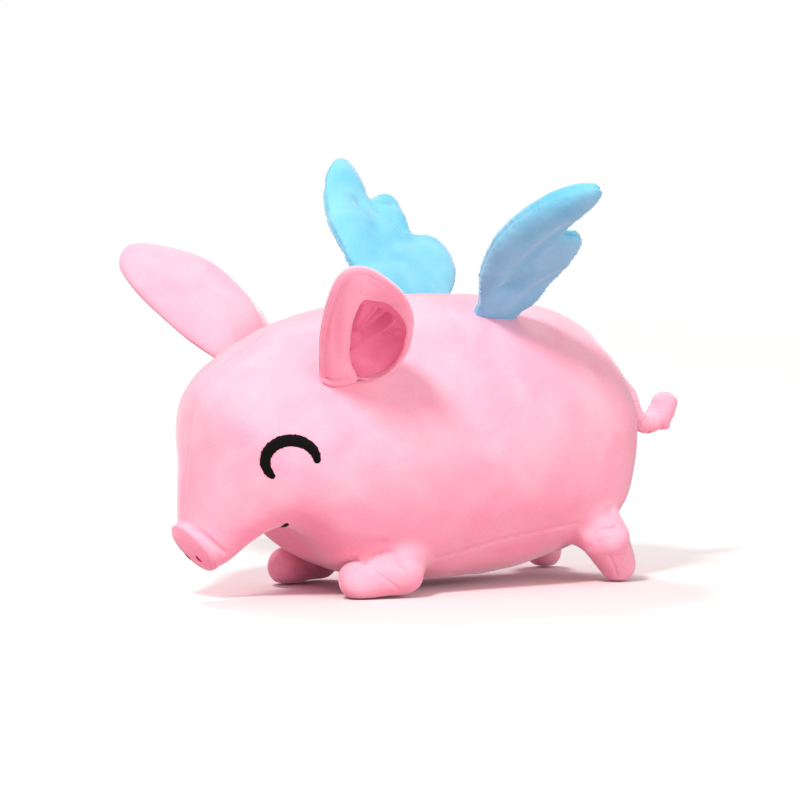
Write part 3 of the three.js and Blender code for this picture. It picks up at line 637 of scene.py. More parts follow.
def behind_disc(points, fade):
    """How much of an unevenness is left at points, none at the snout disc and all of it behind."""
    clear, length = fade
    return smooth_step((-clear - (points - DISC_SEAT) @ DISC_FACING) / length)


def shoulder_rings():
    """The body with its fullness and its sleeves over the legs, out to the muzzle's edge."""
    rings = plain_rings.copy()
    normals = ring_normals(rings)
    heights = evened(shoulder_heights(rings, normals), 3)
    behind = behind_disc(rings, FULLNESS_FADE)
    for out, back, rise, reach, height in FULLNESS:
        for side in ((1,) if out == 0 else (1, -1)):
            centre = body_point(out * side, back, rise)
            gap = np.linalg.norm(rings - centre, axis=-1) / reach
            heights = heights + height * np.exp(-2 * gap**2) * behind
    rings = rings + normals * heights[..., None]
    edge = [
        DISC_SEAT + DISC_FACING * forward + (plain_rings[-1] - DISC_SEAT) * size
        for forward, size in MUZZLE_EDGE
    ]
    return np.vstack([rings, np.array(edge)])


shoulders = shoulder_rings()
shoulder_tree = tree_of(*closed_skin(shoulders))


def on_near_side(pixels, count, trees):
    """A line drawn on the photograph, laid on the first piece that it meets."""
    line = []
    for x, y in spline(pixels, count):
        way = photo_ray(x, y)
        hits = [hit[0] for hit in (on_tree(tree, EYE_POINT, way) for tree in trees) if hit]
        if hits:
            line.append(min(hits, key=lambda p: np.linalg.norm(p - EYE_POINT)))
    return np.array(line)


def leg_rings(leg):
    """A stuffed stub with a round foot, whose top is lost in the body's fabric."""
    hip, foot = leg_line(leg)
    hip_radius, foot_radius = leg["hip_radius"], leg["foot_radius"]
    way = foot - hip
    length = np.linalg.norm(way)
    way /= length
    side = unit(np.cross(way, [1, 0, 0]))
    other = np.cross(way, side)
    # a cone that touches the rounded hip and the rounded foot without an edge
    lean = math.asin((hip_radius - foot_radius) / length)
    turns = np.linspace(-POLE_SHARE * math.pi, lean, LEG_END_RINGS)
    hip_rows = np.stack([hip_radius * np.sin(turns), hip_radius * np.cos(turns)], axis=1)
    turns = np.linspace(lean, POLE_SHARE * math.pi, LEG_END_RINGS)
    foot_rows = np.stack([length + foot_radius * np.sin(turns), foot_radius * np.cos(turns)], axis=1)
    between = np.linspace(0, 1, LEG_CONE_RINGS)[1:-1, None]
    cone_rows = hip_rows[-1] + (foot_rows[0] - hip_rows[-1]) * between
    rows = np.vstack([hip_rows, cone_rows, foot_rows])
    angle = np.linspace(0, TAU, LEG_COLUMNS, endpoint=False)
    round_it = np.outer(np.cos(angle), side) + np.outer(np.sin(angle), other)
    rings = np.array([hip + way * along + round_it * radius for along, radius in rows])
    normals = ring_normals(rings)
    uneven = LEG_LUMP_HEIGHT * lumps(rings, LEG_LUMP_LENGTH, leg["seed"])
    rings = rings + normals * uneven[..., None]
    # the foot is pressed flat on the ground
    low = rings[..., 2]
    bend_top = SOLE_BEND + SOLE_GAP
    sole = SOLE_GAP + SOLE_BEND * np.exp((low - bend_top) / SOLE_BEND)
    rings[..., 2] = np.where(low < bend_top, sole, low)
    return rings


leg_blanks = {name: leg_rings(leg) for name, leg in LEGS.items()}
leg_trees = [tree_of(*closed_skin(rings)) for rings in leg_blanks.values()]
leg_seams = [(pixels, LEG_SEAM_WIDTH, LEG_SEAM_DEPTH) for pixels in LEG_SEAM_PIXELS]
near_folds = [
    (on_near_side(pixels, FOLD_SAMPLES, [shoulder_tree] + leg_trees), width, depth)
    for pixels, width, depth in BODY_FOLD_PIXELS + leg_seams
]


def body_skin():
    """The body's velvet with its lumps, the seams of its panels and its folds."""
    rings = shoulders.copy()
    normals = ring_normals(rings)
    sunk = np.zeros(rings.shape[:2])
    for height, length, seed in BODY_LUMPS:
        sunk -= height * lumps(rings, length, seed)
    sunk *= behind_disc(rings, LUMPS_FADE)
    top_line = plain_rings[TOP_SEAM_FIRST_RING:, BODY_COLUMNS // 4]
    chin_line = plain_rings[-CHIN_SEAM_RINGS:, 3 * BODY_COLUMNS // 4]
    seam = gusset_seam()
    for line in (top_line, chin_line, seam, seam * np.array([-1, 1, 1])):
        even_line = spline(line[::SEAM_THINNING], SEAM_SAMPLES)
        sunk += groove(rings, even_line, SEAM_WIDTH, SEAM_DEPTH, SEAM_PUCKER_SHARE, SEAM_STITCH)
    for line, width, depth in near_folds:
        for side in (1, -1):
            sunk += groove(rings, line * np.array([side, 1, 1]), width, depth)
    return closed_skin(rings - normals * sunk[..., None])


body_points, body_faces = body_skin()
body = mesh_object("body_and_head", body_points, body_faces, PINK_VELVET)
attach(body, "body")
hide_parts("body_panel_left", "body_panel_right", "belly_gusset", "body_filling")

# Snout disc


# The disc's side, from inside the muzzle out over its roll: distance forward, share of its radius
DISC_SIDE = [(3.4, 0.8), (4.2, 0.9), (4.9, 0.935), (5.6, 0.946), (6.2, 0.937), (6.7, 0.912)]
DISC_FACE_SHARE = 0.885
DISC_FACE_RINGS = 36
DISC_COLUMNS = 128
DISC_LUMP_HEIGHT = 0.15
DISC_LUMP_LENGTH = 14


def snout_disc():
    """The round end of the muzzle: a crowned cushion inside the seam of the muzzle's edge."""
    profile = list(DISC_SIDE)
    for k in range(1, DISC_FACE_RINGS):
        inward = 1 - k / DISC_FACE_RINGS
        profile.append((DISC_THICKNESS + DISC_CROWN * (1 - inward**2), DISC_FACE_SHARE * inward))
    angle = np.linspace(0, TAU, DISC_COLUMNS, endpoint=False)
    circle = np.outer(np.cos(angle), [1, 0, 0]) + np.outer(np.sin(angle), DISC_UP)
    rings = np.array([
        DISC_SEAT + DISC_FACING * along + circle * DISC_RADIUS * share for along, share in profile
    ])
    uneven = DISC_LUMP_HEIGHT * lumps(rings, DISC_LUMP_LENGTH, 9)
    return closed_skin(rings + ring_normals(rings) * uneven[..., None])


disc_points, disc_faces = snout_disc()
disc = mesh_object("snout_button", disc_points, disc_faces, PINK_VELVET)
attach(disc, "body")
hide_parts("snout_disc")

# Embroidery: how far the thread stands up, its stitches' pitch and how deep their edge is buried
STITCH_HEIGHT = 1.1
STITCH_PITCH = 1.1
BURIED_EDGE = 0.35
STITCH_SAMPLES = 4
STITCH_COLUMNS = 14
# How unevenly the stitches end, and how much a strand narrows and sinks between two stitches
TEETH_SHARE = 0.07
STRAND_NARROWING_SHARE = 0.13
STRAND_SINKING_SHARE = 0.15
# How far over the flat line the rays start that look for the skin
SKIN_SEARCH = 60


def satin_stitches(tree, centre, facing, turn, line, width, taper, random, lean=1):
    """A band of satin stitches across a flat line, laid on the skin that it is sewn to. Its ends
    are blunt with a small taper and pointed with a large one, and a lean over 1 puts its widest
    place nearer its end."""
    across = np.cross([0, 0, 1], facing)
    across /= np.linalg.norm(across)
    up = np.cross(facing, across)
    c, s = math.cos(math.radians(turn)), math.sin(math.radians(turn))
    across, up = across * c + up * s, up * c - across * s
    line = np.asarray(line, float)
    length = np.linalg.norm(np.diff(line, axis=0), axis=1).sum()
    stitches = max(6, int(length / STITCH_PITCH))
    count = stitches * STITCH_SAMPLES
    middle = spline(line, count)
    tangent = np.gradient(middle, axis=0)
    tangent /= np.linalg.norm(tangent, axis=1, keepdims=True)
    sideways = np.stack([-tangent[:, 1], tangent[:, 0]], axis=1)
    share = np.linspace(0, 1, count)
    full = np.clip(np.sin(math.pi * np.clip(share, 0.002, 0.998) ** lean), 0, 1) ** taper
    teeth = np.repeat(random.uniform(-TEETH_SHARE, TEETH_SHARE, stitches), STITCH_SAMPLES)
    around = np.linspace(0, TAU, STITCH_COLUMNS, endpoint=False)
    rings = []
    for k in range(count):
        gap = 1 - abs(math.sin(math.pi * (k % STITCH_SAMPLES + 0.5) / STITCH_SAMPLES))
        half = width / 2 * full[k] * (1 + teeth[k]) * (1 - STRAND_NARROWING_SHARE * gap)
        height = STITCH_HEIGHT * full[k] * (1 - STRAND_SINKING_SHARE * gap)
        ring = []
        for angle in around:
            flat = middle[k] + sideways[k] * half * math.cos(angle)
            start = centre + across * flat[0] + up * flat[1] + facing * SKIN_SEARCH
            hit, normal = on_tree(tree, start, -facing)
            if np.dot(normal, facing) < 0:
                normal = -normal
            lift = height * max(0, math.sin(angle)) ** 0.6
            ring.append(hit + normal * (lift - BURIED_EDGE))
        rings.append(ring)
    return closed_skin(np.array(rings))


def add_side(name, side, shape, material, node, body_name):
    """One of a pair of pieces, from the shape of the left one or of the right one's reflection."""
    made = mesh_object(f"{name}_{side}", *(shape if side == "left" else mirrored(*shape)), material)
    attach(made, body_name)
    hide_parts(f"{node}_{side}")
    return made


def stitched_pair(name, node, sheet, stitch, material):
    """Embroidery on both sides, each laid on the unevenly filled skin of its own side."""
    for side, skin in (("left", sheet), ("right", mirrored(*sheet))):
        add_side(f"stitched_{name}", side, stitch(tree_of(*skin)), material, node, "body")


# The closed eye is an arch, and the mouth a short stroke that sags a little
EYE_WIDTH = 42
EYE_HEIGHT = 36
EYE_STROKE = 8.8
EYE_ARC = np.radians([-6, 231])
MOUTH_LENGTH = 12.3
MOUTH_STROKE = 4
MOUTH_TURN = 52
MOUTH_SAG_SHARE = 0.12

eye_facing = unit([0.86, -0.5, 0.05])
eye_level = body_point(2, -0.7175, -0.043)
eye_turn = np.linspace(EYE_ARC[0], EYE_ARC[1], 20)
eye_line = np.stack([
    (EYE_WIDTH - EYE_STROKE) / 2 * np.cos(eye_turn),
    (EYE_HEIGHT - EYE_STROKE) / 2 * np.sin(eye_turn),
], axis=1)


def eye(tree):
    centre = on_tree(tree, eye_level, (-1, 0, 0))[0]
    random = np.random.default_rng(11)
    return satin_stitches(tree, centre, eye_facing, 0, eye_line, EYE_STROKE, 0.22, random)


stitched_pair("eye", "eye", (body_points, body_faces), eye, BLACK_THREAD)

mouth_facing = unit([0.8, -0.45, -0.4])
mouth_level = body_point(2, -0.663, -0.526)
mouth_run = np.linspace(-0.5, 0.5, 9)
mouth_sag = MOUTH_SAG_SHARE * (4 * mouth_run**2 - 1)
mouth_line = MOUTH_LENGTH * np.stack([mouth_run, mouth_sag], axis=1)


def mouth(tree):
    centre = on_tree(tree, mouth_level, (-1, 0, 0))[0]
    random = np.random.default_rng(12)
    return satin_stitches(
        tree, centre, mouth_facing, MOUTH_TURN, mouth_line, MOUTH_STROKE, 0.6, random, 1.7
    )


stitched_pair("mouth", "mouth", (body_points, body_faces), mouth, BLACK_THREAD)

NOSTRIL_SPACING = 14.6
NOSTRIL_DROP = 5
NOSTRIL_LENGTH = 7.4
NOSTRIL_STROKE = 2.8
NOSTRIL_TILT = math.radians(5)
nostril_run = np.linspace(-0.5, 0.5, 7)
nostril_line = NOSTRIL_LENGTH * np.outer(nostril_run, [math.sin(NOSTRIL_TILT), math.cos(NOSTRIL_TILT)])
nostril_centre = DISC_SEAT + np.array([NOSTRIL_SPACING / 2, 0, 0]) - DISC_UP * NOSTRIL_DROP


def nostril(tree):
    random = np.random.default_rng(13)
    return satin_stitches(
        tree, nostril_centre, DISC_FACING, 0, nostril_line, NOSTRIL_STROKE, 0.6, random
    )


stitched_pair("nostril", "nostril", (disc_points, disc_faces), nostril, MAGENTA_THREAD)

# Ears
EAR_ROOT_SHARES = (0.741, -0.376)
ear_along = unit([0.69, -0.48, 0.54])
ear_facing = np.array([0.66, 0.115, -0.74])
ear_facing = unit(ear_facing - ear_along * np.dot(ear_facing, ear_along))
ear_across = np.cross(ear_facing, ear_along)
ear_root = on_top(*EAR_ROOT_SHARES)

# The ear is a cupped leaf. Places on it are distances along it, to its front edge and towards its
# lining, and its rim runs from the tip down the front, under the cup and up the back. The last
# two are how high the rolled rim stands on the side of the lining, and how thick it is behind.
EAR_HEART = (55, -4, 0)
LEFT_EAR_RIM = [
    (131, 0, 1.5, 6, 7), (128, 7, 0.5, 7, 7), (119, 13, 0, 7.5, 7), (103, 18.5, -0.5, 8, 7.5),
    (84, 23.5, -1, 8.5, 8), (56, 28.8, -1, 9, 8.5), (26, 32.3, 0, 9, 8.5), (8, 33, 1.5, 8.5, 7),
    (1.5, 29, 5, 7.5, 6), (0.5, 20.5, 8.5, 6.5, 5), (1, 12.5, 10.3, 5.5, 4.5),
    (1.5, 3.5, 12, 4.5, 4.5), (3, -7, 14.3, 4, 4.5), (9, -15.5, 16, 3.5, 5.5), (24, -23, 17, 3, 6.5),
    (45, -27.2, 17.3, 3, 6.5), (67, -29, 17.3, 3, 7), (90, -26, 12.5, 3.5, 7),
    (109, -18, 7, 4, 7), (123, -9.5, 3, 5, 7),
]
# The right ear has dropped open, so it shows its full width
RIGHT_EAR_RIM = [
    (121, 6, 3, 6, 7), (117, 17, 1.5, 7, 7), (108, 26, 0.5, 7.5, 7), (84, 34, 0, 8, 7.5),
    (50, 38.5, 0, 8.5, 8), (22, 37, 1, 9, 8), (6, 33, 3, 8.5, 7), (1.5, 27, 6, 7.5, 6),
    (0.5, 19, 9, 6.5, 5), (1, 10, 10.5, 5.5, 4.5), (1.5, 2, 12, 4.5, 4.5), (3, -8, 14, 4, 4.5),
    (10, -15, 15, 3.5, 5.5), (26, -22, 14, 3, 6.5), (48, -26, 12.5, 3, 6.5), (70, -27.5, 11, 3, 7),
    (90, -24, 9, 3.5, 7), (106, -16, 7, 4, 7), (115, -8, 5, 4.5, 7), (120, -1, 4, 5, 7),
]
EAR_MIDDLE_THICKNESS = 10.5
EAR_COLUMNS = 280
EAR_ROWS = 61
CUP_POWER = 2.4
# How far the ear lies off the head where it would sink in, how near its root this is looked for,
# and how far towards the camera the rays start that look for the head
EAR_CLEARANCE = 3
EAR_SEARCH = 75
HEAD_SEARCH = 120
# The outline of the lining as the photograph shows it
WINDOW_PIXELS = [
    (362, 299), (375, 300), (388, 303), (400, 312), (407, 324), (406, 338), (401, 353), (393, 364),
    (382, 373), (370, 378), (361, 378), (354, 370), (350, 358), (349, 344), (350, 329), (354, 312),
]


def closed_spline(points, count):
    """A smooth line through points that comes back to the first."""
    points = np.asarray(points, float)
    steps = 200
    looped = np.vstack([points[-2:], points, points[:3]])
    line = spline(looped, (len(points) + 4) * steps + 1)
    return line[2 * steps + (np.arange(count) * len(points) * steps // count)]


def photo_place(points):
    """Where points are seen in the photograph."""
    away = points - EYE_POINT
    scale = CAMERA_DISTANCE / -(away @ VIEW_BACK) / PIXEL
    return HALF_PHOTO + away @ VIEW_RIGHT * scale, HALF_PHOTO - away @ VIEW_UP * scale


def inside_outline(x, y, outline):
    """Whether places are inside a closed outline: a line from them crosses it an odd number of times."""
    inside = np.zeros(x.shape, bool)
    for (x0, y0), (x1, y1) in zip(outline, np.roll(outline, -1, axis=0)):
        if y0 != y1:
            crossing = ((y0 > y) != (y1 > y)) & (x < (x1 - x0) * (y - y0) / (y1 - y0) + x0)
            inside ^= crossing
    return inside


ear_rim = closed_spline(LEFT_EAR_RIM, EAR_COLUMNS)
ear_shares = np.linspace(0, 1, EAR_ROWS)


def off_head(points, gap):
    """How far each point has to come towards the camera to lie clear of the head."""
    moves = np.zeros(points.shape[:-1])
    flat, flat_moves = points.reshape(-1, 3), moves.reshape(-1)
    for i in np.flatnonzero(np.linalg.norm(flat - ear_root, axis=1) < EAR_SEARCH):
        start = flat[i] + VIEW_BACK * HEAD_SEARCH
        hit = on_tree(shoulder_tree, start, -VIEW_BACK)
        if hit:
            flat_moves[i] = max(0, HEAD_SEARCH + gap - np.linalg.norm(start - hit[0]))
    return moves


def ear_leaf(rim):
    """The middle sheet of an ear, from its heart to its rim, and the ways square to it."""
    heart = np.array(EAR_HEART, float)
    places = heart + (rim[None, :, :3] - heart) * ear_shares[:, None, None]
    places[..., 2] = heart[2] + (rim[:, 2] - heart[2]) * ear_shares[:, None] ** CUP_POWER
    sheet = ear_root + places @ np.array([ear_along, ear_across, ear_facing])
    sheet = sheet + evened(off_head(sheet, EAR_CLEARANCE), 6)[..., None] * VIEW_BACK
    around = np.roll(sheet, -2, axis=1) - np.roll(sheet, 2, axis=1)
    normals = np.cross(around, np.gradient(sheet, axis=0))
    normals[0] = normals[3].mean(axis=0)
    normals /= np.linalg.norm(normals, axis=2, keepdims=True)
    if (normals @ ear_facing).sum() < 0:
        normals = -normals
    normals = np.stack([evened(normals[..., k], 3) for k in range(3)], axis=2)
    return sheet, normals / np.linalg.norm(normals, axis=2, keepdims=True)


left_leaf = ear_leaf(ear_rim)
right_leaf = ear_leaf(closed_spline(RIGHT_EAR_RIM, EAR_COLUMNS))
seen_window = inside_outline(*photo_place(left_leaf[0]), closed_spline(WINDOW_PIXELS, 96))
window_share = np.array([ear_shares[np.flatnonzero(column).max()] for column in seen_window.T])
window_share = evened(np.repeat(window_share[None], 3, axis=0), 12)[1]


def on_ear(leaf, shares, heights):
    """Points at shares of the way to the rim and heights over the middle sheet, row by row."""
    at = np.clip(shares, 0, 1) * (EAR_ROWS - 1)
    low = np.minimum(at.astype(int), EAR_ROWS - 2)
    part = (at - low)[..., None]
    column = np.broadcast_to(np.arange(EAR_COLUMNS), shares.shape)
    points, normals = (rows[low, column] * (1 - part) + rows[low + 1, column] * part for rows in leaf)
    return points + normals * heights[..., None]


# Folds and seams of the cover and the lining, as points of the photograph, with their width and
# depth. Ridges have a depth less than zero.
COVER_FOLD_PIXELS = [
    ([(347, 279), (340, 299), (337, 320), (336, 345), (338, 362)], 3.4, 1.5),
    ([(358, 366), (359, 373), (360, 380), (360, 387)], 1.8, 4.2),
    ([(357, 290), (362, 296), (368, 293)], 1.3, 0.6),
    ([(366, 276), (371, 284), (380, 289)], 2.6, 0.8),
]
LINING_FOLD_PIXELS = [
    ([(363, 304), (357, 314), (353, 325), (351, 335)], 2.2, 2.4),
    ([(375, 307), (366, 317), (358, 329)], 1.7, -2.6),
    ([(381, 308), (372, 317), (361, 330)], 1.6, 2.4),
    ([(383, 314), (374, 323), (364, 333)], 1.4, -1.6),
    ([(390, 313), (379, 320), (366, 331), (357, 339)], 2.4, 4),
    ([(395, 318), (382, 327), (367, 337), (352, 346)], 2.2, -3.6),
    ([(398, 331), (388, 335), (378, 340)], 2, -1.6),
    ([(398, 337), (388, 340), (379, 346), (371, 355), (366, 365)], 4.5, 2.6),
    ([(377, 371), (367, 377)], 1.8, -1.2),
]
# How deep the cover runs under the lining and the lining's back lies, how high its face stands, and
# the seam of the rolled rim: its place as a share of the roll, its width and depth
COVER_FLOOR = 7
LINING_BACK = 6
LINING_FACE = 0.6
EDGE_SEAM_SHARE = 0.87
EDGE_SEAM_WIDTH_SHARE = 0.045
EDGE_SEAM_DEPTH = 1.3
# The cover's rows under the lining, over the roll and behind, then the lining's in front and behind
UNDER_ROWS = 8
ROLL_ROWS = 74
BEHIND_ROWS = 66
LINING_ROWS = 90
LINING_UNDER_ROWS = 12
EAR_FOLD_SAMPLES = 90
# How far the lining runs under the roll, as a share of the window, and the share of the way to the
# rim that it never passes
LINING_TUCK_SHARE = 1.04
LINING_LIMIT_SHARE = 0.97


def folded(points, lines):
    """How far the near side's folds sink into points of the left ear."""
    sheet = tree_of(points.reshape(-1, 3), grid_faces(*points.shape[:2]))
    sunk = np.zeros(points.shape[:2])
    for pixels, width, depth in lines:
        sunk += groove(points, on_near_side(pixels, EAR_FOLD_SAMPLES, [sheet]), width, depth)
    return sunk


def grid_faces(rows, columns):
    """Faces of rings that close round their columns, open at both ends."""
    faces = []
    for first in range(0, (rows - 1) * columns, columns):
        for c in range(columns):
            a, b = first + c, first + (c + 1) % columns
            faces.append((a, b, b + columns, a + columns))
    return faces


def ear_cover():
    """Shares and heights of the velvet cover: a thick roll round the lining and a full back."""
    under = np.linspace(0.05, 0.99, UNDER_ROWS)[:, None] * window_share
    floor = np.full(under.shape, -COVER_FLOOR)
    turns = np.linspace(0, math.pi, ROLL_ROWS)[:, None]
    roll = (0.5 - 0.5 * np.cos(turns)) * np.ones(EAR_COLUMNS)
    rolled = window_share + (1 - window_share) * roll
    dome = ear_rim[:, 3] * np.sin(math.pi * np.clip(roll, 0.002, 0.998) ** 0.9) ** 0.6
    points = on_ear(left_leaf, rolled, dome)
    seam = EDGE_SEAM_DEPTH * np.exp(-(((roll - EDGE_SEAM_SHARE) / EDGE_SEAM_WIDTH_SHARE) ** 2))
    seam = seam * smooth_step(ear_rim[:, 3] / 5 - 0.5)
    dome = dome - seam - folded(points, COVER_FOLD_PIXELS) + 0.3 * lumps(points, 26, 21)
    turns = np.linspace(0.03, math.pi / 2 - 0.02, BEHIND_ROWS)[:, None]
    behind = np.cos(turns) * np.ones(EAR_COLUMNS)
    middle = smooth_step((1 - behind) * 2.2)
    thickness = ear_rim[:, 4] * (1 - middle) + EAR_MIDDLE_THICKNESS * middle
    back = -thickness * np.sqrt(1 - behind**5)
    back = back - 0.5 * lumps(on_ear(left_leaf, behind, back), 38, 22) * (1 - behind**6)
    return np.vstack([under, rolled, behind]), np.vstack([floor, dome, back])


def ear_lining():
    """Shares and heights of the deeper pink leaf in the window, gathered in folds like a fan."""
    turns = np.linspace(0.02, math.pi / 2, LINING_ROWS)[:, None]
    share = np.sin(turns) * np.ones(EAR_COLUMNS)
    reach = np.minimum(window_share * LINING_TUCK_SHARE, LINING_LIMIT_SHARE)
    height = LINING_FACE * np.sqrt(1 - share**12)
    points = on_ear(left_leaf, share * reach, height)
    height = height - folded(points, LINING_FOLD_PIXELS) + 0.25 * lumps(points, 14, 27)
    under = np.linspace(0.97, 0.03, LINING_UNDER_ROWS)[:, None] * np.ones(EAR_COLUMNS)
    return np.vstack([share, under]) * reach, np.vstack([height, 0 * under - LINING_BACK])


for name, shape, material, node, slot, fill in (
    ("ear_cushion", ear_cover(), PINK_VELVET, "ear_cover", "body_velvet", 0.6),
    ("ear_leaf", ear_lining(), LINING_VELVET, "ear_lining", "lining_velvet", 0.3),
):
    left = closed_skin(on_ear(left_leaf, *shape))
    right = mirrored(*closed_skin(on_ear(right_leaf, *shape)))
    for side, (points, faces) in (("left", left), ("right", right)):
        piece = mesh_object(f"{name}_{side}", points, faces, material)
        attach(piece, f"ear_{side}")
        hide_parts(f"{node}_{side}")

# Legs


def leg_skin(name):
    rings = leg_blanks[name]
    normals = ring_normals(rings)
    sunk = np.zeros(rings.shape[:2])
    for line, width, depth in near_folds:
        sunk += groove(rings, line, width, depth)
    return closed_skin(rings - normals * sunk[..., None])


for name in LEGS:
    shape = leg_skin(name)
    for side in ("left", "right"):
        limb = f"{name}_limb_{side}"
        stub = add_side(f"{name}_stub", side, shape, PINK_VELVET, f"{name}_leg", limb)

# Wings. The span runs from the root to the tip of the longest feather.
WING_SPAN = 160
WING_THICKNESS = 17
WING_ROOT_CHORD = 40
WING_ROOT_SHARES = (0.471, 0.321)
WING_RISE = math.radians(35.5)
WING_VOXEL = 1.3
BLANK_SMOOTHING = 26
FURROW_SMOOTHING = 12
FEATHER_RINGS = 70
FEATHER_COLUMNS = 56
PALM_RINGS = 40
PALM_COLUMNS = 48
FURROW_SAMPLES = 160
# Where a furrow's line lies and how deep it may go, as shares of the thickness over the middle
FURROW_LEVEL_SHARE = 0.38
FURROW_LIMIT_SHARE = 0.7
# The unevenness of the filling and, finer, of the sewn fabric: its height and its length
FILLING_LUMPS = (0.45, 34)
FABRIC_LUMPS = (0.16, 12)
# The seam round the wing's edge, and the strip of ruffled nap on both sides of it
WING_SEAM_WIDTH = 1.2
WING_SEAM_DEPTH = 1.4
RUFFLE_PLACE = 2
RUFFLE_WIDTH = 1
RUFFLE_HEIGHT = 0.45
RUFFLE_LENGTH = 3

half_chord_share = WING_ROOT_CHORD / 2 / BODY_HALF_LENGTH
root_out, root_back = WING_ROOT_SHARES
chord_end = on_top(root_out, root_back + half_chord_share)
wing_rear = unit(chord_end - on_top(root_out, root_back - half_chord_share))
wing_out = np.array([math.cos(WING_RISE), 0, math.sin(WING_RISE)])
wing_out = unit(wing_out - wing_rear * np.dot(wing_out, wing_rear))
wing_up = np.cross(wing_out, wing_rear)
wing_root = on_top(root_out, root_back)

# Each feather: where its middle line starts, bends and ends, outward and rearward, and its half
# width and thickness. The left wing lies drawn together, and the right one is spread. A palm joins
# them to the root, in rows of place outward and rearward, half width and thickness.
FEATHER_SHARES = {
    "left": [
        ((0, -0.04), (0.6, -0.355), (0.98, -0.09), 0.135, 1.15),
        ((0, 0), (0.38, -0.08), (0.64, -0.01), 0.115, 0.85),
        ((0, 0), (0.13, 0), (0.3, 0), 0.08, 0.8),
    ],
    "right": [
        ((0, -0.22), (0.44, -0.31), (0.955, -0.09), 0.115, 0.9),
        ((0, -0.06), (0.45, -0.12), (0.725, 0.04), 0.1, 0.8),
        ((0, -0.05), (0.16, -0.04), (0.46, 0.14), 0.14, 0.8),
    ],
}
PALM_SHARES = {
    "left": [
        (-0.06, -0.03, 0.1, 0.6), (0.08, -0.055, 0.118, 0.7), (0.2, -0.085, 0.152, 0.75),
        (0.34, -0.115, 0.178, 0.7), (0.46, -0.14, 0.16, 0.55), (0.56, -0.14, 0.1, 0.3),
    ],
    "right": [
        (-0.06, -0.03, 0.1, 0.6), (0.08, -0.1, 0.18, 0.7), (0.2, -0.115, 0.235, 0.8),
        (0.34, -0.125, 0.225, 0.8), (0.46, -0.15, 0.17, 0.6), (0.56, -0.16, 0.11, 0.35),
    ],
}
# Furrows between the feathers: start, bend and end in shares of the span, the width and depth in
# millimetres, and the face that they are in, 1 above and -1 below
FURROW_SHARES = {
    "left": [
        ((0.16, -0.11), (0.5, -0.25), (0.78, -0.09), 6.5, 3.2, -1),
        ((0.08, 0), (0.2, -0.05), (0.42, 0.05), 5, 1.8, -1),
        ((0.12, -0.06), (0.5, -0.23), (0.78, -0.08), 3.2, 3.2, 1),
        ((0.08, 0), (0.2, -0.04), (0.42, 0.05), 3, 2, 1),
    ],
    "right": [
        ((0.57, -0.165), (0.6, -0.15), (0.635, -0.13), 5.5, 5, 1),
        ((0.6, -0.1), (0.53, -0.045), (0.44, 0), 4, 4, 1),
        ((0.61, -0.11), (0.62, -0.05), (0.625, 0.01), 2.6, 1.8, 1),
        ((0.12, -0.16), (0.42, -0.2), (0.68, -0.09), 3.2, 2.8, -1),
        ((0.1, -0.06), (0.3, -0.06), (0.5, 0.03), 3, 2.4, -1),
    ],
}


def bow(start, bend, end, count, first=0, last=1):
    """Points and directions of a bowed line in the wing's sheet."""
    start, bend, end = (np.array(p) * WING_SPAN for p in (start, bend, end))
    share = (first + (last - first) * (0.5 - 0.5 * np.cos(np.linspace(0, math.pi, count))))[:, None]
    middle = (1 - share) ** 2 * start + 2 * share * (1 - share) * bend + share**2 * end
    tangent = 2 * (1 - share) * (bend - start) + 2 * share * (end - bend)
    return share[:, 0], middle, tangent / np.linalg.norm(tangent, axis=1, keepdims=True)


def wing_points(out, rear, over):
    return (
        wing_root
        + np.asarray(out)[..., None] * wing_out
        + np.asarray(rear)[..., None] * wing_rear
        + np.asarray(over)[..., None] * wing_up
    )


def feather(start, bend, end, width_share, thick_share):
    share, middle, tangent = bow(start, bend, end, FEATHER_RINGS, 0.01, 0.995)
    full = (0.75 + 0.25 * np.sin(share * math.pi)) * (1 - (1 - share) ** 5)
    full *= np.clip(1 - share**9, 0, 1) ** 0.5
    angle = np.linspace(0, TAU, FEATHER_COLUMNS, endpoint=False)
    side = np.outer(full * width_share * WING_SPAN, signed_power(np.cos(angle), 0.9))
    over = np.outer(full**0.7 * thick_share * WING_THICKNESS / 2, signed_power(np.sin(angle), 0.95))
    out = middle[:, :1] + side * tangent[:, 1:]
    rear = middle[:, 1:] - side * tangent[:, :1]
    return closed_skin(wing_points(out, rear, over))


def palm(shares):
    rows = spline(shares, PALM_RINGS)
    angle = np.linspace(0, TAU, PALM_COLUMNS, endpoint=False)
    out = np.repeat(rows[:, :1] * WING_SPAN, len(angle), axis=1)
    rear = (rows[:, 1:2] + np.outer(rows[:, 2], np.cos(angle))) * WING_SPAN
    over = np.outer(rows[:, 3] * WING_THICKNESS / 2, signed_power(np.sin(angle), 0.8))
    return closed_skin(wing_points(out, rear, over))


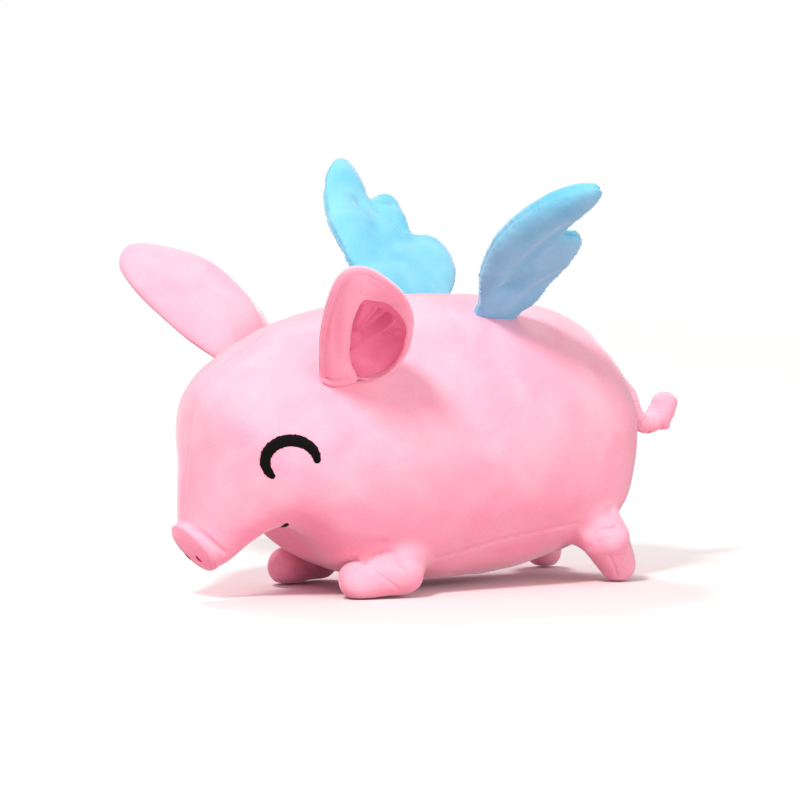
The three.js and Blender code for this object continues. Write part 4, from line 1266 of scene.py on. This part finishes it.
def remeshed(name, shapes, voxel, smoothing):
    """Several closed shapes grown together into one even skin."""
    points, faces, first = [], [], 0
    for shape_points, shape_faces in shapes:
        points.append(shape_points)
        faces += [tuple(i + first for i in face) for face in shape_faces]
        first += len(shape_points)
    mesh = bpy.data.meshes.new(name)
    mesh.from_pydata(np.vstack(points).tolist(), [], faces)
    made = bpy.data.objects.new(name, mesh)
    bpy.context.collection.objects.link(made)
    remesh = made.modifiers.new("grow_together", "REMESH")
    remesh.mode = "VOXEL"
    remesh.voxel_size = voxel
    smooth = made.modifiers.new("even", "SMOOTH")
    smooth.factor = 0.5
    smooth.iterations = smoothing
    grown = made.evaluated_get(bpy.context.evaluated_depsgraph_get()).to_mesh()
    count = len(grown.vertices)
    flat = np.empty(count * 3)
    grown.vertices.foreach_get("co", flat)
    normals = np.empty(count * 3)
    grown.vertices.foreach_get("normal", normals)
    grown_faces = [tuple(face.vertices) for face in grown.polygons]
    bpy.data.objects.remove(made)
    bpy.data.meshes.remove(mesh)
    return flat.reshape(-1, 3), normals.reshape(-1, 3), grown_faces


def wing(side, seed):
    """A stuffed wing: feathers and palm grown together, furrowed, then seamed round its edge."""
    shapes = [palm(PALM_SHARES[side])] + [feather(*shares) for shares in FEATHER_SHARES[side]]
    points, normals, faces = remeshed("wing_blank", shapes, WING_VOXEL, BLANK_SMOOTHING)
    facing = normals @ wing_up
    height, length = FILLING_LUMPS
    sunk = -height * lumps(points, length, seed)
    for start, bend, end, width, depth, face in FURROW_SHARES[side]:
        middle = bow(start, bend, end, FURROW_SAMPLES)[1]
        level = np.full(len(middle), face * WING_THICKNESS * FURROW_LEVEL_SHARE)
        line = wing_points(middle[:, 0], middle[:, 1], level)
        sunk += groove(points, line, width, depth) * smooth_step(facing * face * 2)
    # furrows from both faces stop before they meet in the thin sheet between two feathers
    sunk = np.minimum(sunk, FURROW_LIMIT_SHARE * np.abs((points - wing_root) @ wing_up))
    furrowed = (points - normals * sunk[:, None], faces)
    points, normals, faces = remeshed("furrowed_wing", [furrowed], WING_VOXEL, FURROW_SMOOTHING)
    over = (points - wing_root) @ wing_up
    # the two panels meet in a seam round the edge, where the nap of their pile is ruffled
    edge = smooth_step((1 - np.abs(normals @ wing_up)) * 1.8)
    seam = WING_SEAM_DEPTH * np.exp(-((over / WING_SEAM_WIDTH) ** 2)) * edge
    strip = np.exp(-(((np.abs(over) - RUFFLE_PLACE) / RUFFLE_WIDTH) ** 2))
    height, length = FABRIC_LUMPS
    sunk = seam - height * lumps(points, length, seed + 1)
    sunk += RUFFLE_HEIGHT * strip * lumps(points, RUFFLE_LENGTH, seed + 2)
    return points - normals * sunk[:, None], faces


for side, seed in (("left", 41), ("right", 43)):
    shape = wing(side, seed)
    if side == "right":
        shape = mirrored(*shape)
    piece = mesh_object(f"wing_cushion_{side}", *shape, BLUE_VELVET)
    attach(piece, f"wing_{side}")
    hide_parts(f"wing_upper_panel_{side}", f"wing_lower_panel_{side}")

# The tail's middle line: to the left, behind the body's middle and over the ground, and its radius
TAIL_LINE = [
    (0, 152, 127, 7.4), (0, 163, 123.5, 7), (0.5, 169.5, 118.8, 6.3), (1.5, 172.5, 111.5, 6),
    (2.5, 175.5, 104.5, 6), (2.5, 180, 98.4, 6.5), (1, 188, 97.8, 7), (-1, 195, 101, 8.2),
    (-2.6, 200.2, 106, 9), (-3.2, 202, 110.9, 8.9), (-3.4, 202.7, 114.4, 7.2), (-3.4, 202.9, 117, 2.5),
]
# Creases across the tail: the share of its length, how far they slant round it, and their depth
TAIL_CREASES = [
    (0.2, 0.01, 0.8), (0.27, -0.02, 1.2), (0.34, 0.02, 1),
    (0.42, -0.015, 1.5), (0.49, 0.02, 1), (0.6, -0.02, 0.7),
]
# How wide a crease is, as a share of the length, and where round the tail it is deepest, in radians
CREASE_WIDTH_SHARE = 0.009
CREASE_SIDE = 0.6
TAIL_ROWS = 190
TAIL_COLUMNS = 84
TAIL_LUMP_HEIGHT = 0.45
TAIL_LUMP_LENGTH = 13
TAIL_CORNER = 2.4
TAIL_CORNER_REACH = 3.4


def tail():
    """The curled tail, creased where it bends."""
    dense = spline(TAIL_LINE, TAIL_ROWS)
    middle, size = dense[:, :3], dense[:, 3]
    tangent = np.gradient(middle, axis=0)
    tangent /= np.linalg.norm(tangent, axis=1, keepdims=True)
    angle = np.linspace(0, TAU, TAIL_COLUMNS, endpoint=False)
    across = np.array([1.0, 0, 0])
    rings = []
    for place, way, radius in zip(middle, tangent, size):
        across = unit(across - way * np.dot(across, way))
        other = np.cross(way, across)
        circle = np.outer(np.cos(angle), across) + np.outer(np.sin(angle), other)
        rings.append(place + radius * circle)
    rings = np.array(rings)
    normals = ring_normals(rings)
    run = np.linspace(0, 1, TAIL_ROWS)[:, None]
    sunk = -TAIL_LUMP_HEIGHT * lumps(rings, TAIL_LUMP_LENGTH, 51)
    gathered = (0.5 + 0.5 * np.cos(angle - CREASE_SIDE)) ** 2
    for place, slant, depth in TAIL_CREASES:
        away = (run - place - slant * np.sin(angle)) / CREASE_WIDTH_SHARE
        sunk += depth * np.exp(-(away**2)) * gathered
    rings = rings - normals * sunk[..., None]
    # the end of its seam stands out as a small corner under the curl
    corner = unit(VIEW_RIGHT * 0.66 - VIEW_UP * 0.75)
    tip = rings.reshape(-1, 3)[(rings @ corner).argmax()]
    near = np.exp(-((np.linalg.norm(rings - tip, axis=2) / TAIL_CORNER_REACH) ** 2))
    return closed_skin(rings + corner * (TAIL_CORNER * near)[..., None])


tail_piece = mesh_object("curled_tail", *tail(), PINK_VELVET)
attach(tail_piece, "curl")
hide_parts("tail")

# Floor and light, in metres and watts
FLOOR_SIZE = 6
# The floor turns clear between these distances, so it has no edge
FLOOR_FADE = (0.45, 2.2)
# The world's strength where it lights the pig, and where it shows as the white background
SOFT_LIGHT = 0.45
WHITE_LIGHT = 1
WARM_WHITE = "#FFF8F4"


def shown(tree):
    """1 for the rays that show the background: the camera's, mirrored ones and those through glass."""
    path = add_node(tree, "ShaderNodeLightPath").outputs
    mirrored_too = add_node(tree, "ShaderNodeMath", {
        0: path["Is Camera Ray"], 1: path["Is Glossy Ray"],
    }, operation="MAXIMUM")
    return add_node(tree, "ShaderNodeMath", {
        0: mirrored_too.outputs["Value"], 1: path["Is Transmission Ray"],
    }, operation="MAXIMUM").outputs["Value"]


def floor_material():
    """Pale paper. It throws back less light than it shows, so the belly keeps its shade."""
    material, tree = new_material("pale_paper_floor")
    colour = add_node(tree, "ShaderNodeMix", {
        "Factor": shown(tree), "A": linear("#D8A8B6"), "B": linear("#F6F4F4"),
    }, data_type="RGBA")
    shader = add_node(tree, "ShaderNodeBsdfDiffuse", {"Color": colour.outputs["Result"]})
    place = add_node(tree, "ShaderNodeTexCoord").outputs["Object"]
    far = add_node(tree, "ShaderNodeVectorMath", {0: place}, operation="LENGTH")
    fade = add_node(tree, "ShaderNodeMapRange", {
        "Value": far.outputs["Value"], "From Min": FLOOR_FADE[0], "From Max": FLOOR_FADE[1],
    }, interpolation_type="SMOOTHSTEP")
    clear = add_node(tree, "ShaderNodeBsdfTransparent")
    faded = add_node(tree, "ShaderNodeMixShader", {
        "Fac": fade.outputs["Result"], 1: shader.outputs["BSDF"], 2: clear.outputs["BSDF"],
    })
    add_node(tree, "ShaderNodeOutputMaterial", {"Surface": faded.outputs["Shader"]})
    return material


floor_mesh = bpy.data.meshes.new("floor")
half = FLOOR_SIZE / 2
floor_corners = [(-half, -half, 0), (half, -half, 0), (half, half, 0), (-half, half, 0)]
floor_mesh.from_pydata(floor_corners, [], [(0, 1, 2, 3)])
floor_mesh.materials.append(floor_material())
floor = bpy.data.objects.new("floor", floor_mesh)
bpy.context.collection.objects.link(floor)


def area_light(name, offset, size, power, colour):
    """A soft lamp, placed by its distances right, up and towards the camera from the pig."""
    data = bpy.data.lights.new(name, "AREA")
    data.shape = "DISK"
    data.size = size
    data.energy = power
    data.color = linear(colour)[:3]
    lamp = bpy.data.objects.new(name, data)
    bpy.context.collection.objects.link(lamp)
    right, up, near = offset
    flat_back = np.array([math.sin(CAMERA_AZIMUTH), -math.cos(CAMERA_AZIMUTH), 0])
    middle = metres(TARGET)
    place = middle + VIEW_RIGHT * right + np.array([0, 0, up]) + flat_back * near
    lamp.location = place
    lamp.rotation_euler = Vector(middle - place).to_track_quat("-Z", "Y").to_euler()


area_light("key_from_upper_left", (-0.7, 1.9, 1.9), 0.45, 58, WARM_WHITE)
area_light("rim_from_behind", (-0.9, 2, -1.6), 0.8, 42, WARM_WHITE)
area_light("fill_from_the_right", (1.7, 0.5, 1.9), 1.8, 27, WARM_WHITE)

world = bpy.data.worlds.new("studio")
world.use_nodes = True
world.node_tree.nodes.clear()
light = world.node_tree
soft, white = (
    add_node(light, "ShaderNodeBackground", {"Color": linear("#FFFFFF"), "Strength": strength})
    for strength in (SOFT_LIGHT, WHITE_LIGHT)
)
sky = add_node(light, "ShaderNodeMixShader", {
    "Fac": shown(light), 1: soft.outputs["Background"], 2: white.outputs["Background"],
})
add_node(light, "ShaderNodeOutputWorld", {"Surface": sky.outputs["Shader"]})
bpy.context.scene.world = world

bpy.context.scene.view_settings.view_transform = "Standard"
